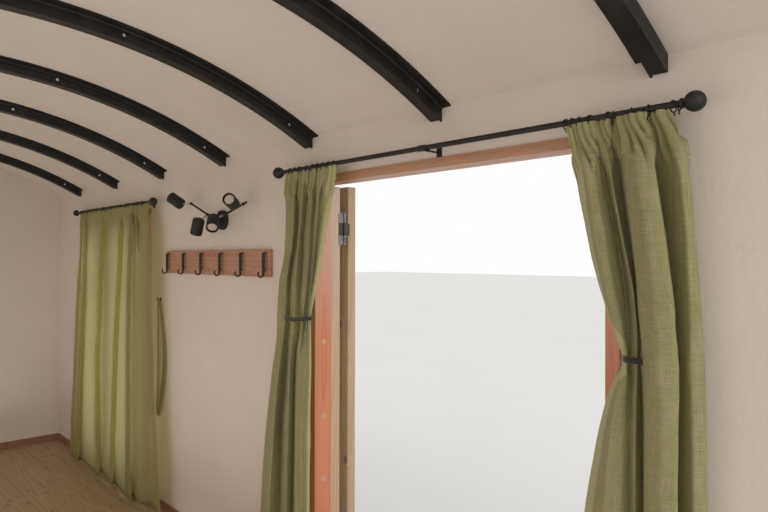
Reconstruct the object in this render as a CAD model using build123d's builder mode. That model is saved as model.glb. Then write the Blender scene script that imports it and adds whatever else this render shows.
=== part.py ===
"""End section of a railway carriage cabin, with arched roof hoops, an end wall and a curtained doorway.

X runs along the carriage with the closed end at +X, the doorway side faces -Y, and Z is up from the ground.
The doors stand fully open, folded back against the outside of the wall.
"""

from build123d import *
import os
from math import asin, cos, degrees, pi, radians, sin, sqrt

os.makedirs("parts", exist_ok=True)

# body
section_length = 6096
half_width = 1238
wall = 125
end_wall_thickness = 120
floor_top = 180
deck_thickness = 30
sole_bar_width = 90
eave_height = 2211
ceiling_radius = 2630
roof_thickness = 58
roof_overhang = 86
roof_panels = 6

# roof hoops, a rolled Z-bar bent to the ceiling
hoop_spacing = 800
first_hoop_from_end = 576
hoop_count = 7
hoop_depth = 50
hoop_flange = 50
hoop_web = 7
hoop_foot = 6
hoop_root = 5
hoop_hole = 15
hoop_hole_angles = (8.1, 25.2)
hoop_setback = 9
last_hoop_set_in = 12

# main doorway
main_left = -884
main_right = -2301
main_head = 1984
frame_face = 45
head_face = 37
frame_depth = 150
frame_proud = 6
rebate = 12
leaf_thickness = 48
leaf_gap = 6
leaf_seal = 14
sill_height = 22
stile = 100
top_rail = 100
bottom_rail = 190
glazing_bar = 26
glazing_bar_height = 1470
glass = 8
glass_bite = 9

# hinges
pin_offset = 26
knuckle_diameter = 14
knuckle_top = 52
knuckle_middle = 64
knuckle_bottom = 40
knuckle_play = 0.4
hinge_plate = 2
hinge_plate_width = 34
hinge_from_head = 200
hinge_from_floor = 270

# far doorway
far_left = 2140
far_right = 985
far_head = 1940

# curtain poles
pole_diameter = 19
pole_from_wall = 72
pole_above_head = 66
pole_past_right = 308
pole_past_left = 234
far_pole_above_head = 68
far_pole_past_right = 265
far_pole_past_left = 125
bracket_from_end = 164
far_bracket_from_end = 173
middle_bracket_off_centre = -47.5
sleeve_past_bracket = 24
sleeve_length = 34
finial_ball = 55
far_finial_ball = 50
ring_outside = 34
ring_wire = 4
rings_per_curtain = 7
ring_from_wall_side = 54
ring_from_door_side = 16

# curtains, each level's two edges measured along the wall from the edge of its doorway
curtain_thickness = 72
curtain_tie_height = 1365
curtain_hem_height = 22
left_heading = (-238, 140)
left_waist = (-65, 154)
left_hem = (-78, 364)
right_heading = (-229, 96)
right_waist = (-307, -81)
right_hem = (-339, 111)
far_heading = (-135, 25)
far_hem = (-335, 250)
band_height = 18
band_thickness = 3
band_ease = 2
tie_hook_in = 50
far_tie_right = 190
far_tie_top = 1368

# coat rack and spot light
rack_ends = (-524, 662)
rack_bottom = 1546
rack_height = 140
rack_thickness = 20
hook_count = 6
hook_from_left_end = 35
hook_from_right_end = 36
hook_width = 14
hook_strap = 6
hook_stand_off = 21
hook_reach = 42
lamp_x = -28
lamp_height = 1855
lamp_drum = 110
lamp_drum_depth = 22
lamp_arm = 12
lamp_head = 66
lamp_head_length = 88
lamp_head_wall = 2
lamp_arm_stand_off = 50
lamp_head_stand_off = 124

skirting_height = 58
skirting_thickness = 14

# places worked out from the sizes above
x_open = -section_length / 2
x_end = section_length / 2 - end_wall_thickness
y_front = -half_width
y_front_out = -half_width - wall
y_back_out = half_width + wall
eave = floor_top + eave_height
arc_z = eave - sqrt(ceiling_radius**2 - half_width**2)
roof_half_angle = degrees(asin((half_width + wall + roof_overhang) / ceiling_radius))
hoop_half_angle = degrees(asin(half_width / ceiling_radius))
head_z = floor_top + main_head
far_head_z = floor_top + far_head
y_frame_in = y_front + frame_proud
y_frame_out = y_front - frame_depth
leaf_outer = y_frame_out
leaf_inner = leaf_outer + leaf_thickness
stop_y = leaf_inner + leaf_seal
leaf_bottom = floor_top + sill_height + leaf_gap
leaf_top = head_z + rebate - leaf_gap
leaf_width = (main_left - main_right + 2 * rebate - 3 * leaf_gap) / 2
pin_y = leaf_outer - pin_offset
pin_left = main_left + rebate - leaf_gap / 2
pin_right = main_right - rebate + leaf_gap / 2
main_frame_left = main_left + frame_face
main_frame_right = main_right - frame_face
main_frame_top = head_z + head_face
far_frame_left = far_left + frame_face
far_frame_right = far_right - frame_face
far_frame_top = far_head_z + head_face

# floor
with BuildPart() as sole_bars:
    with BuildSketch(Plane.YZ.offset(x_open)) as bar_ends:
        for side in (-1, 1):
            with Locations((side * (half_width + wall), 0)):
                Rectangle(
                    sole_bar_width,
                    floor_top - deck_thickness,
                    align=(Align.MAX if side > 0 else Align.MIN, Align.MIN),
                )
    extrude(amount=section_length)
sole_bars.part.label = "sole_bars"
export_step(sole_bars.part, "parts/sole_bars.step")

bearer_span = 2 * (half_width + wall - sole_bar_width)
bearer_depth = 100
with BuildPart() as floor_bearers:
    with Locations((0, 0, floor_top - deck_thickness)):
        with GridLocations((section_length - 60) / 8, 0, 9, 1):
            Box(60, bearer_span, bearer_depth, align=(Align.CENTER, Align.CENTER, Align.MAX))
floor_bearers.part.label = "floor_bearers"
export_step(floor_bearers.part, "parts/floor_bearers.step")

with BuildPart() as floor_deck:
    with Locations((0, 0, floor_top)):
        Box(
            section_length,
            2 * (half_width + wall),
            deck_thickness,
            align=(Align.CENTER, Align.CENTER, Align.MAX),
        )
floor_deck.part.label = "floor_deck"
export_step(floor_deck.part, "parts/floor_deck.step")


# walls
def side_wall(label, x_from, x_to, y_from, y_to, z_from):
    """A length of side wall whose top follows the underside of the roof."""
    with BuildPart() as panel:
        with BuildSketch(Plane.YZ.offset(x_from)):
            with Locations((y_from, z_from)):
                Rectangle(y_to - y_from, eave + 200 - z_from, align=(Align.MIN, Align.MIN))
            with Locations((0, arc_z)):
                Circle(ceiling_radius, mode=Mode.INTERSECT)
        extrude(amount=x_to - x_from)
    panel.part.label = label
    export_step(panel.part, f"parts/{label}.step")


side_wall("front_wall_open_end_panel", x_open, main_frame_right, y_front_out, y_front, floor_top)
side_wall(
    "front_wall_over_main_door",
    main_frame_right,
    main_frame_left,
    y_front_out,
    y_front,
    main_frame_top,
)
side_wall("front_wall_middle_panel", main_frame_left, far_frame_right, y_front_out, y_front, floor_top)
side_wall("front_wall_over_far_door", far_frame_right, far_frame_left, y_front_out, y_front, far_frame_top)
side_wall("front_wall_corner_panel", far_frame_left, x_end, y_front_out, y_front, floor_top)
side_wall("back_wall", x_open, x_end, half_width, y_back_out, floor_top)

with BuildPart() as end_wall:
    with BuildSketch(Plane.YZ.offset(x_end)):
        with Locations((0, floor_top)):
            Rectangle(2 * (half_width + wall), eave + 600, align=(Align.CENTER, Align.MIN))
        with Locations((0, arc_z)):
            Circle(ceiling_radius, mode=Mode.INTERSECT)
    extrude(amount=end_wall_thickness)
end_wall.part.label = "end_wall"
export_step(end_wall.part, "parts/end_wall.step")

# roof
panel_angle = 2 * roof_half_angle / roof_panels
for number in range(roof_panels):
    a_from = 90 + roof_half_angle - number * panel_angle
    with BuildPart() as roof_panel:
        with BuildSketch(Plane.YZ.offset(x_open)):
            with BuildLine():
                inner = CenterArc((0, arc_z), ceiling_radius, a_from, -panel_angle)
                outer = CenterArc((0, arc_z), ceiling_radius + roof_thickness, a_from, -panel_angle)
                Line(inner @ 0, outer @ 0)
                Line(inner @ 1, outer @ 1)
            make_face()
        extrude(amount=section_length)
    roof_panel.part.label = f"roof_panel_{number + 1}"
    export_step(roof_panel.part, f"parts/roof_panel_{number + 1}.step")

# hoops
sweep_half = hoop_half_angle + 2
half_web = hoop_web / 2


def hoop_place(number):
    """Where a hoop stands along the carriage, and which way round it is turned: the last is turned over."""
    place = x_end - first_hoop_from_end - number * hoop_spacing
    if number == hoop_count - 1:
        return place + last_hoop_set_in, 1
    return place, -1


def hoop_plane(number):
    """The plane of a hoop's section, at the foot of its bend."""
    place, turn = hoop_place(number)
    start = radians(-sweep_half)
    return Plane(
        origin=(place, ceiling_radius * sin(start), arc_z + ceiling_radius * cos(start)),
        x_dir=(turn, 0, 0),
        z_dir=(0, -turn * cos(start), turn * sin(start)),
    )


def near_root(corner):
    """True at the two inner corners of the Z, where the web meets a flange."""
    beside_web = abs(abs(corner.X) - half_web) < 0.01
    at_flange = abs(abs(corner.Y + hoop_depth / 2) - hoop_depth / 2 + hoop_foot) < 0.01
    return beside_web and at_flange


for number in range(hoop_count):
    hoop_x, turn = hoop_place(number)
    section_plane = hoop_plane(number)
    with BuildPart() as hoop:
        with BuildSketch(section_plane) as z_section:
            with BuildLine():
                Polyline(
                    (-half_web, 0),
                    (hoop_flange - half_web, 0),
                    (hoop_flange - half_web, -hoop_foot),
                    (half_web, -hoop_foot),
                    (half_web, -hoop_depth),
                    (half_web - hoop_flange, -hoop_depth),
                    (half_web - hoop_flange, hoop_foot - hoop_depth),
                    (-half_web, hoop_foot - hoop_depth),
                    close=True,
                )
            make_face()
            inner_corners = [
                corner
                for corner in z_section.vertices()
                if near_root(section_plane.to_local_coords(corner))
            ]
            chamfer(inner_corners, hoop_root)
        revolve(axis=Axis((0, 0, arc_z), (-1, 0, 0)), revolution_arc=2 * sweep_half)
        # the ends are cut off plumb, against the walls
        with Locations((hoop_x, 0, eave)):
            Box(200, 2 * half_width, 1200, mode=Mode.INTERSECT)
        # the lower flange stops short of the walls and leaves the web's tip standing
        for side in (-1, 1):
            with Locations((hoop_x - turn * half_web, side * half_width, eave - hoop_depth)):
                Box(
                    hoop_flange,
                    2 * hoop_setback,
                    4 * hoop_root,
                    align=(Align.MIN if turn < 0 else Align.MAX, Align.CENTER, Align.CENTER),
                    mode=Mode.SUBTRACT,
                )
        for angle in hoop_hole_angles:
            for side in (-1, 1):
                a = radians(side * angle)
                middle = ceiling_radius - hoop_depth / 2
                with BuildSketch(Plane.YZ.offset(hoop_x - hoop_web)):
                    with Locations((middle * sin(a), arc_z + middle * cos(a))):
                        RegularPolygon(hoop_hole / 2, 8)
                extrude(amount=2 * hoop_web, mode=Mode.SUBTRACT)
    hoop.part.label = f"roof_hoop_{number + 1}"
    export_step(hoop.part, f"parts/roof_hoop_{number + 1}.step")

# a batten fills the open side of the last hoop, between its lower flange and the ceiling
with BuildPart() as hoop_packing:
    with BuildSketch(hoop_plane(hoop_count - 1)):
        with BuildLine():
            Polyline(
                (half_web - hoop_flange, 0),
                (-half_web, 0),
                (-half_web, hoop_foot + hoop_root - hoop_depth),
                (-half_web - hoop_root, hoop_foot - hoop_depth),
                (half_web - hoop_flange, hoop_foot - hoop_depth),
                close=True,
            )
        make_face()
    revolve(axis=Axis((0, 0, arc_z), (-1, 0, 0)), revolution_arc=2 * sweep_half)
    with Locations((hoop_place(hoop_count - 1)[0], 0, eave)):
        Box(200, 2 * half_width, 1200, mode=Mode.INTERSECT)
hoop_packing.part.label = "roof_hoop_packing"
export_step(hoop_packing.part, "parts/roof_hoop_packing.step")

# main doorway frame
with BuildPart() as main_door_jambs:
    with BuildSketch(Plane.XY.offset(floor_top)):
        for face_x, way in ((main_left, 1), (main_right, -1)):
            with BuildLine():
                Polyline(
                    (face_x, y_frame_in),
                    (face_x + way * frame_face, y_frame_in),
                    (face_x + way * frame_face, y_frame_out),
                    (face_x + way * rebate, y_frame_out),
                    (face_x + way * rebate, stop_y),
                    (face_x, stop_y),
                    close=True,
                )
            make_face()
    extrude(amount=main_head)
main_door_jambs.part.label = "main_door_jambs"
export_step(main_door_jambs.part, "parts/main_door_jambs.step")


def door_head(label, x_from, x_to, z_under):
    """The head of a door frame, rebated for the leaf on its outer side."""
    with BuildPart() as head:
        with BuildSketch(Plane.YZ.offset(x_from)):
            with BuildLine():
                Polyline(
                    (y_frame_in, z_under),
                    (y_frame_in, z_under + head_face),
                    (y_frame_out, z_under + head_face),
                    (y_frame_out, z_under + rebate),
                    (stop_y, z_under + rebate),
                    (stop_y, z_under),
                    close=True,
                )
            make_face()
        extrude(amount=x_to - x_from)
    head.part.label = label
    export_step(head.part, f"parts/{label}.step")


door_head("main_door_head", main_frame_right, main_frame_left, head_z)

sill_nose = 26
with BuildPart() as main_door_sill:
    with BuildSketch(Plane.YZ.offset(main_right)):
        with BuildLine():
            Polyline(
                (y_front, floor_top),
                (y_front, floor_top + sill_height),
                (stop_y, floor_top + sill_height),
                (y_frame_out - sill_nose, floor_top + sill_height - 7),
                (y_frame_out - sill_nose, floor_top - 6),
                (y_frame_out - sill_nose + 14, floor_top - 6),
                (y_frame_out - sill_nose + 14, floor_top),
                close=True,
            )
        make_face()
    extrude(amount=main_left - main_right)
main_door_sill.part.label = "main_door_sill"
export_step(main_door_sill.part, "parts/main_door_sill.step")


# door leaves
def door_leaves(name, starts, width, y_centre, z_from, z_to):
    """Glazed leaves with one glazing bar each, one from each start, and their sheets of glass in grooves."""
    middles = [start + width / 2 for start in starts]
    pane_width = width - 2 * stile
    pane_from = z_from + bottom_rail
    pane_to = z_to - top_rail
    bar_z = floor_top + glazing_bar_height
    with BuildPart() as leaf:
        with Locations(*[(middle, y_centre, z_from) for middle in middles]):
            Box(width, leaf_thickness, z_to - z_from, align=(Align.CENTER, Align.CENTER, Align.MIN))
        for low, high in ((pane_from, bar_z - glazing_bar / 2), (bar_z + glazing_bar / 2, pane_to)):
            with BuildSketch(Plane.XZ.offset(-y_centre)):
                with Locations(*[(middle, low) for middle in middles]):
                    Rectangle(pane_width, high - low, align=(Align.CENTER, Align.MIN))
            extrude(amount=leaf_thickness, both=True, mode=Mode.SUBTRACT)
        pane_edges = leaf.edges().filter_by(
            lambda e: abs(abs(e.center().Y - y_centre) - leaf_thickness / 2) < 0.01
            and min(abs(e.center().X - middle) for middle in middles) < pane_width / 2 + 1
            and z_from + 1 < e.center().Z < z_to - 1
        )
        chamfer(pane_edges, 7)
        with Locations(*[(middle, y_centre, pane_from - glass_bite) for middle in middles]):
            Box(
                pane_width + 2 * glass_bite,
                glass,
                pane_to - pane_from + 2 * glass_bite,
                align=(Align.CENTER, Align.CENTER, Align.MIN),
                mode=Mode.SUBTRACT,
            )
    leaf.part.label = f"{name}_leaf"
    export_step(leaf.part, f"parts/{name}_leaf.step")
    with BuildPart() as pane:
        with Locations(*[(middle, y_centre, pane_from - glass_bite) for middle in middles]):
            Box(
                pane_width + 2 * glass_bite,
                glass,
                pane_to - pane_from + 2 * glass_bite,
                align=(Align.CENTER, Align.CENTER, Align.MIN),
            )
    pane.part.label = f"{name}_glass"
    export_step(pane.part, f"parts/{name}_glass.step")


leaf_y = pin_y - pin_offset - leaf_thickness / 2
leaf_edge_left = pin_left + leaf_gap / 2
leaf_edge_right = pin_right - leaf_gap / 2
door_leaves("main_door_left", [leaf_edge_left], leaf_width, leaf_y, leaf_bottom, leaf_top)
door_leaves("main_door_right", [leaf_edge_right - leaf_width], leaf_width, leaf_y, leaf_bottom, leaf_top)

# hinges
hinge_length = knuckle_top + knuckle_middle + knuckle_bottom
hinge_high = head_z - hinge_from_head
hinge_low = floor_top + hinge_from_floor
hinge_tops = [middle + hinge_length / 2 for middle in (hinge_high, hinge_low)]
plate_offset = leaf_gap / 2 - hinge_plate / 2

with BuildPart() as main_door_hinges:
    for hinge_x, way in ((pin_left, 1), (pin_right, -1)):
        for top in hinge_tops:
            low = top - hinge_length
            with Locations((hinge_x + way * plate_offset, pin_y, low)):
                Box(hinge_plate, hinge_plate_width, hinge_length, align=(Align.CENTER, Align.MIN, Align.MIN))
            # room for the moving knuckle to turn in
            with Locations((hinge_x, pin_y, low + knuckle_bottom)):
                Box(
                    2 * knuckle_diameter,
                    knuckle_diameter + 2,
                    knuckle_middle,
                    align=(Align.CENTER, Align.CENTER, Align.MIN),
                    mode=Mode.SUBTRACT,
                )
            for z_low, tall in ((low, knuckle_bottom), (low + knuckle_bottom + knuckle_middle, knuckle_top)):
                with BuildSketch(Plane.XY.offset(z_low)):
                    with Locations((hinge_x, pin_y)):
                        RegularPolygon(knuckle_diameter / 2, 10)
                extrude(amount=tall)
main_door_hinges.part.label = "main_door_hinges"
export_step(main_door_hinges.part, "parts/main_door_hinges.step")

for name, hinge_x, way in (("left", pin_left, 1), ("right", pin_right, -1)):
    with BuildPart() as moving_half:
        for top in hinge_tops:
            low = top - hinge_length + knuckle_bottom + knuckle_play
            tall = knuckle_middle - 2 * knuckle_play
            with Locations((hinge_x + way * plate_offset, pin_y, low)):
                Box(hinge_plate, hinge_plate_width, tall, align=(Align.CENTER, Align.MAX, Align.MIN))
            with Locations((hinge_x, pin_y, low)):
                Cylinder(knuckle_diameter / 2, tall, align=(Align.CENTER, Align.CENTER, Align.MIN))
    moving_half.part.label = f"main_door_{name}_hinge_plates"
    export_step(moving_half.part, f"parts/main_door_{name}_hinge_plates.step")

# far doorway
with BuildPart() as far_door_jambs:
    with BuildSketch(Plane.XY.offset(floor_top)):
        for face_x, way in ((far_left, 1), (far_right, -1)):
            with BuildLine():
                Polyline(
                    (face_x, y_frame_in),
                    (face_x + way * frame_face, y_frame_in),
                    (face_x + way * frame_face, y_frame_out),
                    (face_x + way * rebate, y_frame_out),
                    (face_x + way * rebate, stop_y),
                    (face_x, stop_y),
                    close=True,
                )
            make_face()
    extrude(amount=far_head)
far_door_jambs.part.label = "far_door_jambs"
export_step(far_door_jambs.part, "parts/far_door_jambs.step")

door_head("far_door_head", far_frame_right, far_frame_left, far_head_z)
far_gap = 3
far_leaf_width = (far_left - far_right + 2 * rebate - 3 * far_gap) / 2
far_leaf_start = far_right - rebate + far_gap
door_leaves(
    "far_door",
    [far_leaf_start, far_leaf_start + far_leaf_width + far_gap],
    far_leaf_width,
    stop_y - leaf_thickness / 2,
    floor_top + far_gap,
    far_head_z + rebate - far_gap,
)


# curtain poles
pole_y = y_front + pole_from_wall


def curtain_pole(label, ends, height, ball, bracket_places, sleeve_at):
    """A rod with turned ball ends on wall brackets, and a sleeve where the rod is in two lengths."""
    z = floor_top + height
    radius = pole_diameter / 2
    turned = [(ball / 2 * (1 - cos(radians(a))), ball / 2 * sin(radians(a))) for a in (18, 50, 90, 130, 150)]
    turned.append((turned[-1][0] + 12, radius + 3))
    with BuildPart() as rod:
        with Locations(Location(((ends[0] + ends[1]) / 2, pole_y, z), (0, 90, 0))):
            Cylinder(radius, ends[1] - ends[0] - ball)
        for end_x, way in ((ends[0], 1), (ends[1], -1)):
            for along, out in turned:
                with BuildSketch(Plane.YZ.offset(end_x + way * along)):
                    with Locations((pole_y, z)):
                        RegularPolygon(out, 12)
            loft(ruled=True)
        if sleeve_at is not None:
            with Locations(Location((sleeve_at, pole_y, z), (0, 90, 0))):
                Cylinder(radius + 2.5, sleeve_length)
    rod.part.label = label
    export_step(rod.part, f"parts/{label}.step")
    with BuildPart() as brackets:
        for place in bracket_places:
            with Locations((place, y_front, z - 6)):
                Box(24, 4, 44, align=(Align.CENTER, Align.MIN, Align.CENTER))
            with Locations((place, y_front, z - radius)):
                Box(8, pole_from_wall + radius + 4, 5, align=(Align.CENTER, Align.MIN, Align.MAX))
            # a cradle that the rod lies in
            with BuildSketch(Plane.YZ.offset(place - 6)):
                with Locations((pole_y, z - radius - 5)):
                    Rectangle(pole_diameter + 8, radius + 8, align=(Align.CENTER, Align.MIN))
                with Locations((pole_y, z - radius)):
                    Rectangle(pole_diameter, 2 * radius, align=(Align.CENTER, Align.MIN), mode=Mode.SUBTRACT)
            extrude(amount=12)
    brackets.part.label = label + "_brackets"
    export_step(brackets.part, f"parts/{label}_brackets.step")


pole_height = main_head + pole_above_head
far_pole_height = far_head + far_pole_above_head
main_pole_ends = (main_right - pole_past_right, main_left + pole_past_left)
far_pole_ends = (far_right - far_pole_past_right, far_left + far_pole_past_left)
middle_bracket = (main_left + main_right) / 2 + middle_bracket_off_centre
main_brackets = (main_pole_ends[0] + bracket_from_end, middle_bracket, main_pole_ends[1] - bracket_from_end)
far_brackets = (far_pole_ends[0] + far_bracket_from_end, far_pole_ends[1] - far_bracket_from_end)
sleeve_x = middle_bracket + sleeve_past_bracket
curtain_pole("main_curtain_pole", main_pole_ends, pole_height, finial_ball, main_brackets, sleeve_x)
curtain_pole("far_curtain_pole", far_pole_ends, far_pole_height, far_finial_ball, far_brackets, None)

ring_hole = ring_outside / 2 - ring_wire


def spread(first, last):
    """Places of one curtain's rings, evenly from the first to the last."""
    return [first + (last - first) * i / (rings_per_curtain - 1) for i in range(rings_per_curtain)]


main_ring_places = spread(
    main_right + right_heading[0] + ring_from_wall_side,
    main_right + right_heading[1] - ring_from_door_side,
) + spread(
    main_left + left_heading[0] + ring_from_door_side,
    main_left + left_heading[1] - ring_from_wall_side,
)
far_ring_places = spread(
    far_right + far_heading[0] + ring_from_wall_side,
    far_left + far_heading[1] - ring_from_wall_side,
)
for label, places, height in (
    ("main_curtain_rings", main_ring_places, pole_height),
    ("far_curtain_rings", far_ring_places, far_pole_height),
):
    ring_z = floor_top + height + pole_diameter / 2 - ring_hole
    with BuildPart() as rings:
        for place in places:
            with BuildSketch(Plane.YZ.offset(place - ring_wire / 2)):
                with Locations((pole_y, ring_z)):
                    RegularPolygon(ring_outside / 2, 8, major_radius=False, rotation=22.5)
                    RegularPolygon(ring_hole, 8, major_radius=False, rotation=22.5, mode=Mode.SUBTRACT)
            extrude(amount=ring_wire)
    rings.part.label = label
    export_step(rings.part, f"parts/{label}.step")


# curtains
def curtain(label, levels):
    """A hanging curtain as one closed form: its outline from the front, cut to its outline from the side."""
    front = [(level[1], level[0]) for level in levels] + [(level[2], level[0]) for level in reversed(levels)]
    side = [(level[3], level[0]) for level in levels] + [(level[4], level[0]) for level in reversed(levels)]
    with BuildPart() as drape:
        with BuildSketch(Plane.XZ.offset(-y_front - 2 * pole_from_wall)):
            with BuildLine():
                Polyline(*front, close=True)
            make_face()
        extrude(amount=2 * pole_from_wall)
        with BuildSketch(Plane.YZ.offset(levels[-1][1])):
            with BuildLine():
                Polyline(*side, close=True)
            make_face()
        extrude(amount=levels[-1][2] - levels[-1][1], mode=Mode.INTERSECT)
    drape.part.label = label
    export_step(drape.part, f"parts/{label}.step")


seat = 0.2
heading_z = floor_top + pole_height + pole_diameter / 2 - ring_hole - ring_outside / 2 - seat
far_heading_z = heading_z - pole_height + far_pole_height
tie_z = floor_top + curtain_tie_height
hem_z = floor_top + curtain_hem_height
curtain_back = pole_y - curtain_thickness / 2
curtain_front = pole_y + curtain_thickness / 2


for label, edge, heading, waist, hem in (
    ("curtain_left", main_left, left_heading, left_waist, left_hem),
    ("curtain_right", main_right, right_heading, right_waist, right_hem),
):
    curtain(
        label,
        (
            (heading_z, edge + heading[0], edge + heading[1], curtain_back, curtain_front),
            (tie_z, edge + waist[0], edge + waist[1], curtain_back - 8, curtain_front - 8),
            (hem_z, edge + hem[0], edge + hem[1], curtain_back - 10, curtain_front + 20),
        ),
    )
curtain(
    "far_curtain",
    (
        (far_heading_z, far_right + far_heading[0], far_left + far_heading[1], curtain_back, curtain_front),
        (hem_z, far_right + far_hem[0], far_left + far_hem[1], curtain_back, curtain_front + 30),
    ),
)

# tie-backs, each a band round its curtain on a hook in the wall behind it
post = pole_from_wall - 8 - curtain_thickness / 2 - 2 * band_thickness
far_hook_x = far_right - far_tie_right
far_hook_z = floor_top + far_tie_top
with BuildPart() as tie_backs:
    for edge, waist, way in ((main_left, left_waist, 1), (main_right, right_waist, -1)):
        middle_x = edge + (waist[0] + waist[1]) / 2
        band_width = waist[1] - waist[0] + 2 * (band_thickness + band_ease)
        band_depth = curtain_thickness + 2 * band_thickness
        with BuildSketch(Plane.XY.offset(tie_z - band_height / 2)):
            with Locations((middle_x, pole_y - 8)):
                Rectangle(band_width + 2 * band_thickness, band_depth + 2 * band_thickness)
                Rectangle(band_width, band_depth, mode=Mode.SUBTRACT)
        extrude(amount=band_height)
        with Locations((middle_x + way * (band_width / 2 - tie_hook_in), y_front, tie_z)):
            Box(10, post, 10, align=(Align.CENTER, Align.MIN, Align.CENTER))
            Box(24, 5, 36, align=(Align.CENTER, Align.MIN, Align.CENTER))
    # the far curtain's hook
    with Locations((far_hook_x, y_front, far_hook_z)):
        Box(6, 26, 6, align=(Align.CENTER, Align.MIN, Align.CENTER))
        Box(20, 4, 30, align=(Align.CENTER, Align.MIN, Align.CENTER))
tie_backs.part.label = "tie_backs"
export_step(tie_backs.part, "parts/tie_backs.step")

# the far curtain's own band hangs loose from its hook, one strand bowed out
outer_edge = ((-13, 8), (14, 8), (14, -330), (20, -600), (34, -728), (0, -776), (-44, -680), (-104, -470), (-96, -300))
inner_edge = ((-6, -24), (-1, -330), (-2, -560), (6, -700), (-4, -716), (-24, -650), (-62, -470), (-58, -300))
with BuildPart() as far_tie_back:
    with BuildSketch(Plane.XZ.offset(-y_front - 8)):
        for edge, mode in ((outer_edge, Mode.ADD), (inner_edge, Mode.SUBTRACT)):
            with BuildLine():
                Polyline(*[(far_hook_x + dx, far_hook_z + dz) for dx, dz in edge], close=True)
            make_face(mode=mode)
        with Locations((far_hook_x, far_hook_z)):
            Rectangle(6, 6, mode=Mode.SUBTRACT)
    extrude(amount=-8)
far_tie_back.part.label = "far_tie_back"
export_step(far_tie_back.part, "parts/far_tie_back.step")

# coat rack
with BuildPart() as coat_rack_board:
    with Locations((rack_ends[0], y_front, floor_top + rack_bottom)):
        Box(
            rack_ends[1] - rack_ends[0],
            rack_thickness,
            rack_height,
            align=(Align.MIN, Align.MIN, Align.MIN),
        )
    chamfer(coat_rack_board.faces().sort_by(Axis.Y)[-1].edges(), 2)
coat_rack_board.part.label = "coat_rack_board"
export_step(coat_rack_board.part, "parts/coat_rack_board.step")

hook_pitch = (rack_ends[1] - rack_ends[0] - hook_from_left_end - hook_from_right_end) / (hook_count - 1)
hook_radius = (hook_reach - hook_strap) / 2
hook_bends = (0, 45, 90, 135, 180)
board_face = y_front + rack_thickness
strap_y = board_face + hook_stand_off
strap_top = floor_top + rack_bottom + rack_height - 18
strap_low = floor_top + rack_bottom + hook_radius - 1
with BuildPart() as coat_hooks:
    for number in range(hook_count):
        hook_x = rack_ends[1] - hook_from_left_end - number * hook_pitch
        with BuildSketch(Plane.YZ.offset(hook_x - hook_width / 2)):
            with BuildLine() as hook_line:
                Polyline((board_face, strap_top), (strap_y, strap_top), (strap_y, strap_low))
                turn_y = strap_y + hook_radius
                curl_y = [turn_y - hook_radius * cos(radians(a)) for a in hook_bends]
                curl_z = [strap_low - hook_radius * sin(radians(a)) for a in hook_bends]
                Polyline(*zip(curl_y, curl_z))
                Line((turn_y + hook_radius, strap_low), (turn_y + hook_radius, strap_low + 12))
            trace(line_width=hook_strap)
            # a lower foot holds the strap off the board
            with Locations((board_face, strap_low + 18)):
                Rectangle(hook_stand_off, hook_strap, align=(Align.MIN, Align.CENTER))
        extrude(amount=hook_width)
coat_hooks.part.label = "coat_hooks"
export_step(coat_hooks.part, "parts/coat_hooks.step")

# spot light
lamp_z = floor_top + lamp_height
arm_y = y_front + lamp_arm_stand_off
head_y = y_front + lamp_head_stand_off
arm_ends = ((lamp_x + 304, lamp_z + 113), (lamp_x - 326, lamp_z + 78))
heads = (
    ((lamp_x + 333, head_y, lamp_z + 122), (0.78, 0.395, 0.527), (0, 0.95)),
    ((lamp_x + 68, head_y, lamp_z - 38), (0.48, -0.05, -0.876), (0, 0.3)),
    ((lamp_x - 107, head_y, lamp_z - 24), (-0.6, 0.42, -0.68), (1, 0.3)),
    ((lamp_x - 300, head_y, lamp_z + 77), (-0.612, 0.677, 0.219), (1, 0.9)),
)
with BuildPart() as spot_light:
    with BuildSketch(Plane.XZ.offset(-y_front)):
        with Locations((lamp_x, lamp_z)):
            RegularPolygon(lamp_drum / 2, 24)
    extrude(amount=-lamp_drum_depth)
    chamfer(spot_light.faces().sort_by(Axis.Y)[-1].edges(), 4)
    with BuildSketch(Plane.XZ.offset(-y_front)):
        with Locations((lamp_x, lamp_z)):
            RegularPolygon(13, 12)
    extrude(amount=-(arm_y - y_front + lamp_arm / 2 + 3))
    for end_x, end_z in arm_ends:
        root = Vector(lamp_x, arm_y, lamp_z)
        tip = Vector(end_x, arm_y, end_z)
        with BuildSketch(Plane(origin=root, z_dir=tip - root)):
            RegularPolygon(lamp_arm / 2, 8)
        extrude(amount=(tip - root).length)
    for centre, axis, (arm_number, along) in heads:
        end_x, end_z = arm_ends[arm_number]
        start = Vector(lamp_x + (end_x - lamp_x) * along, arm_y, lamp_z + (end_z - lamp_z) * along)
        back = Vector(centre) - Vector(axis).normalized() * (lamp_head_length / 2 - 14)
        with BuildSketch(Plane(origin=start, z_dir=back - start)):
            RegularPolygon(4.5, 8)
        extrude(amount=(back - start).length)
        with BuildSketch(Plane(origin=centre, z_dir=axis)):
            RegularPolygon(lamp_head / 2, 16)
        extrude(amount=lamp_head_length / 2, both=True)
        with BuildSketch(Plane(origin=centre, z_dir=axis).offset(lamp_head_length / 2 - 12)):
            RegularPolygon(lamp_head / 2 - lamp_head_wall, 16)
        extrude(amount=12, mode=Mode.SUBTRACT)
spot_light.part.label = "spot_light"
export_step(spot_light.part, "parts/spot_light.step")

with BuildPart() as spot_light_bulbs:
    for centre, axis, place in heads:
        front = Vector(centre) + Vector(axis).normalized() * (lamp_head_length / 2 - 12)
        with BuildSketch(Plane(origin=front, z_dir=axis)):
            RegularPolygon(lamp_head / 2 - 7, 16)
        extrude(amount=6)
spot_light_bulbs.part.label = "spot_light_bulbs"
export_step(spot_light_bulbs.part, "parts/spot_light_bulbs.step")

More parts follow.
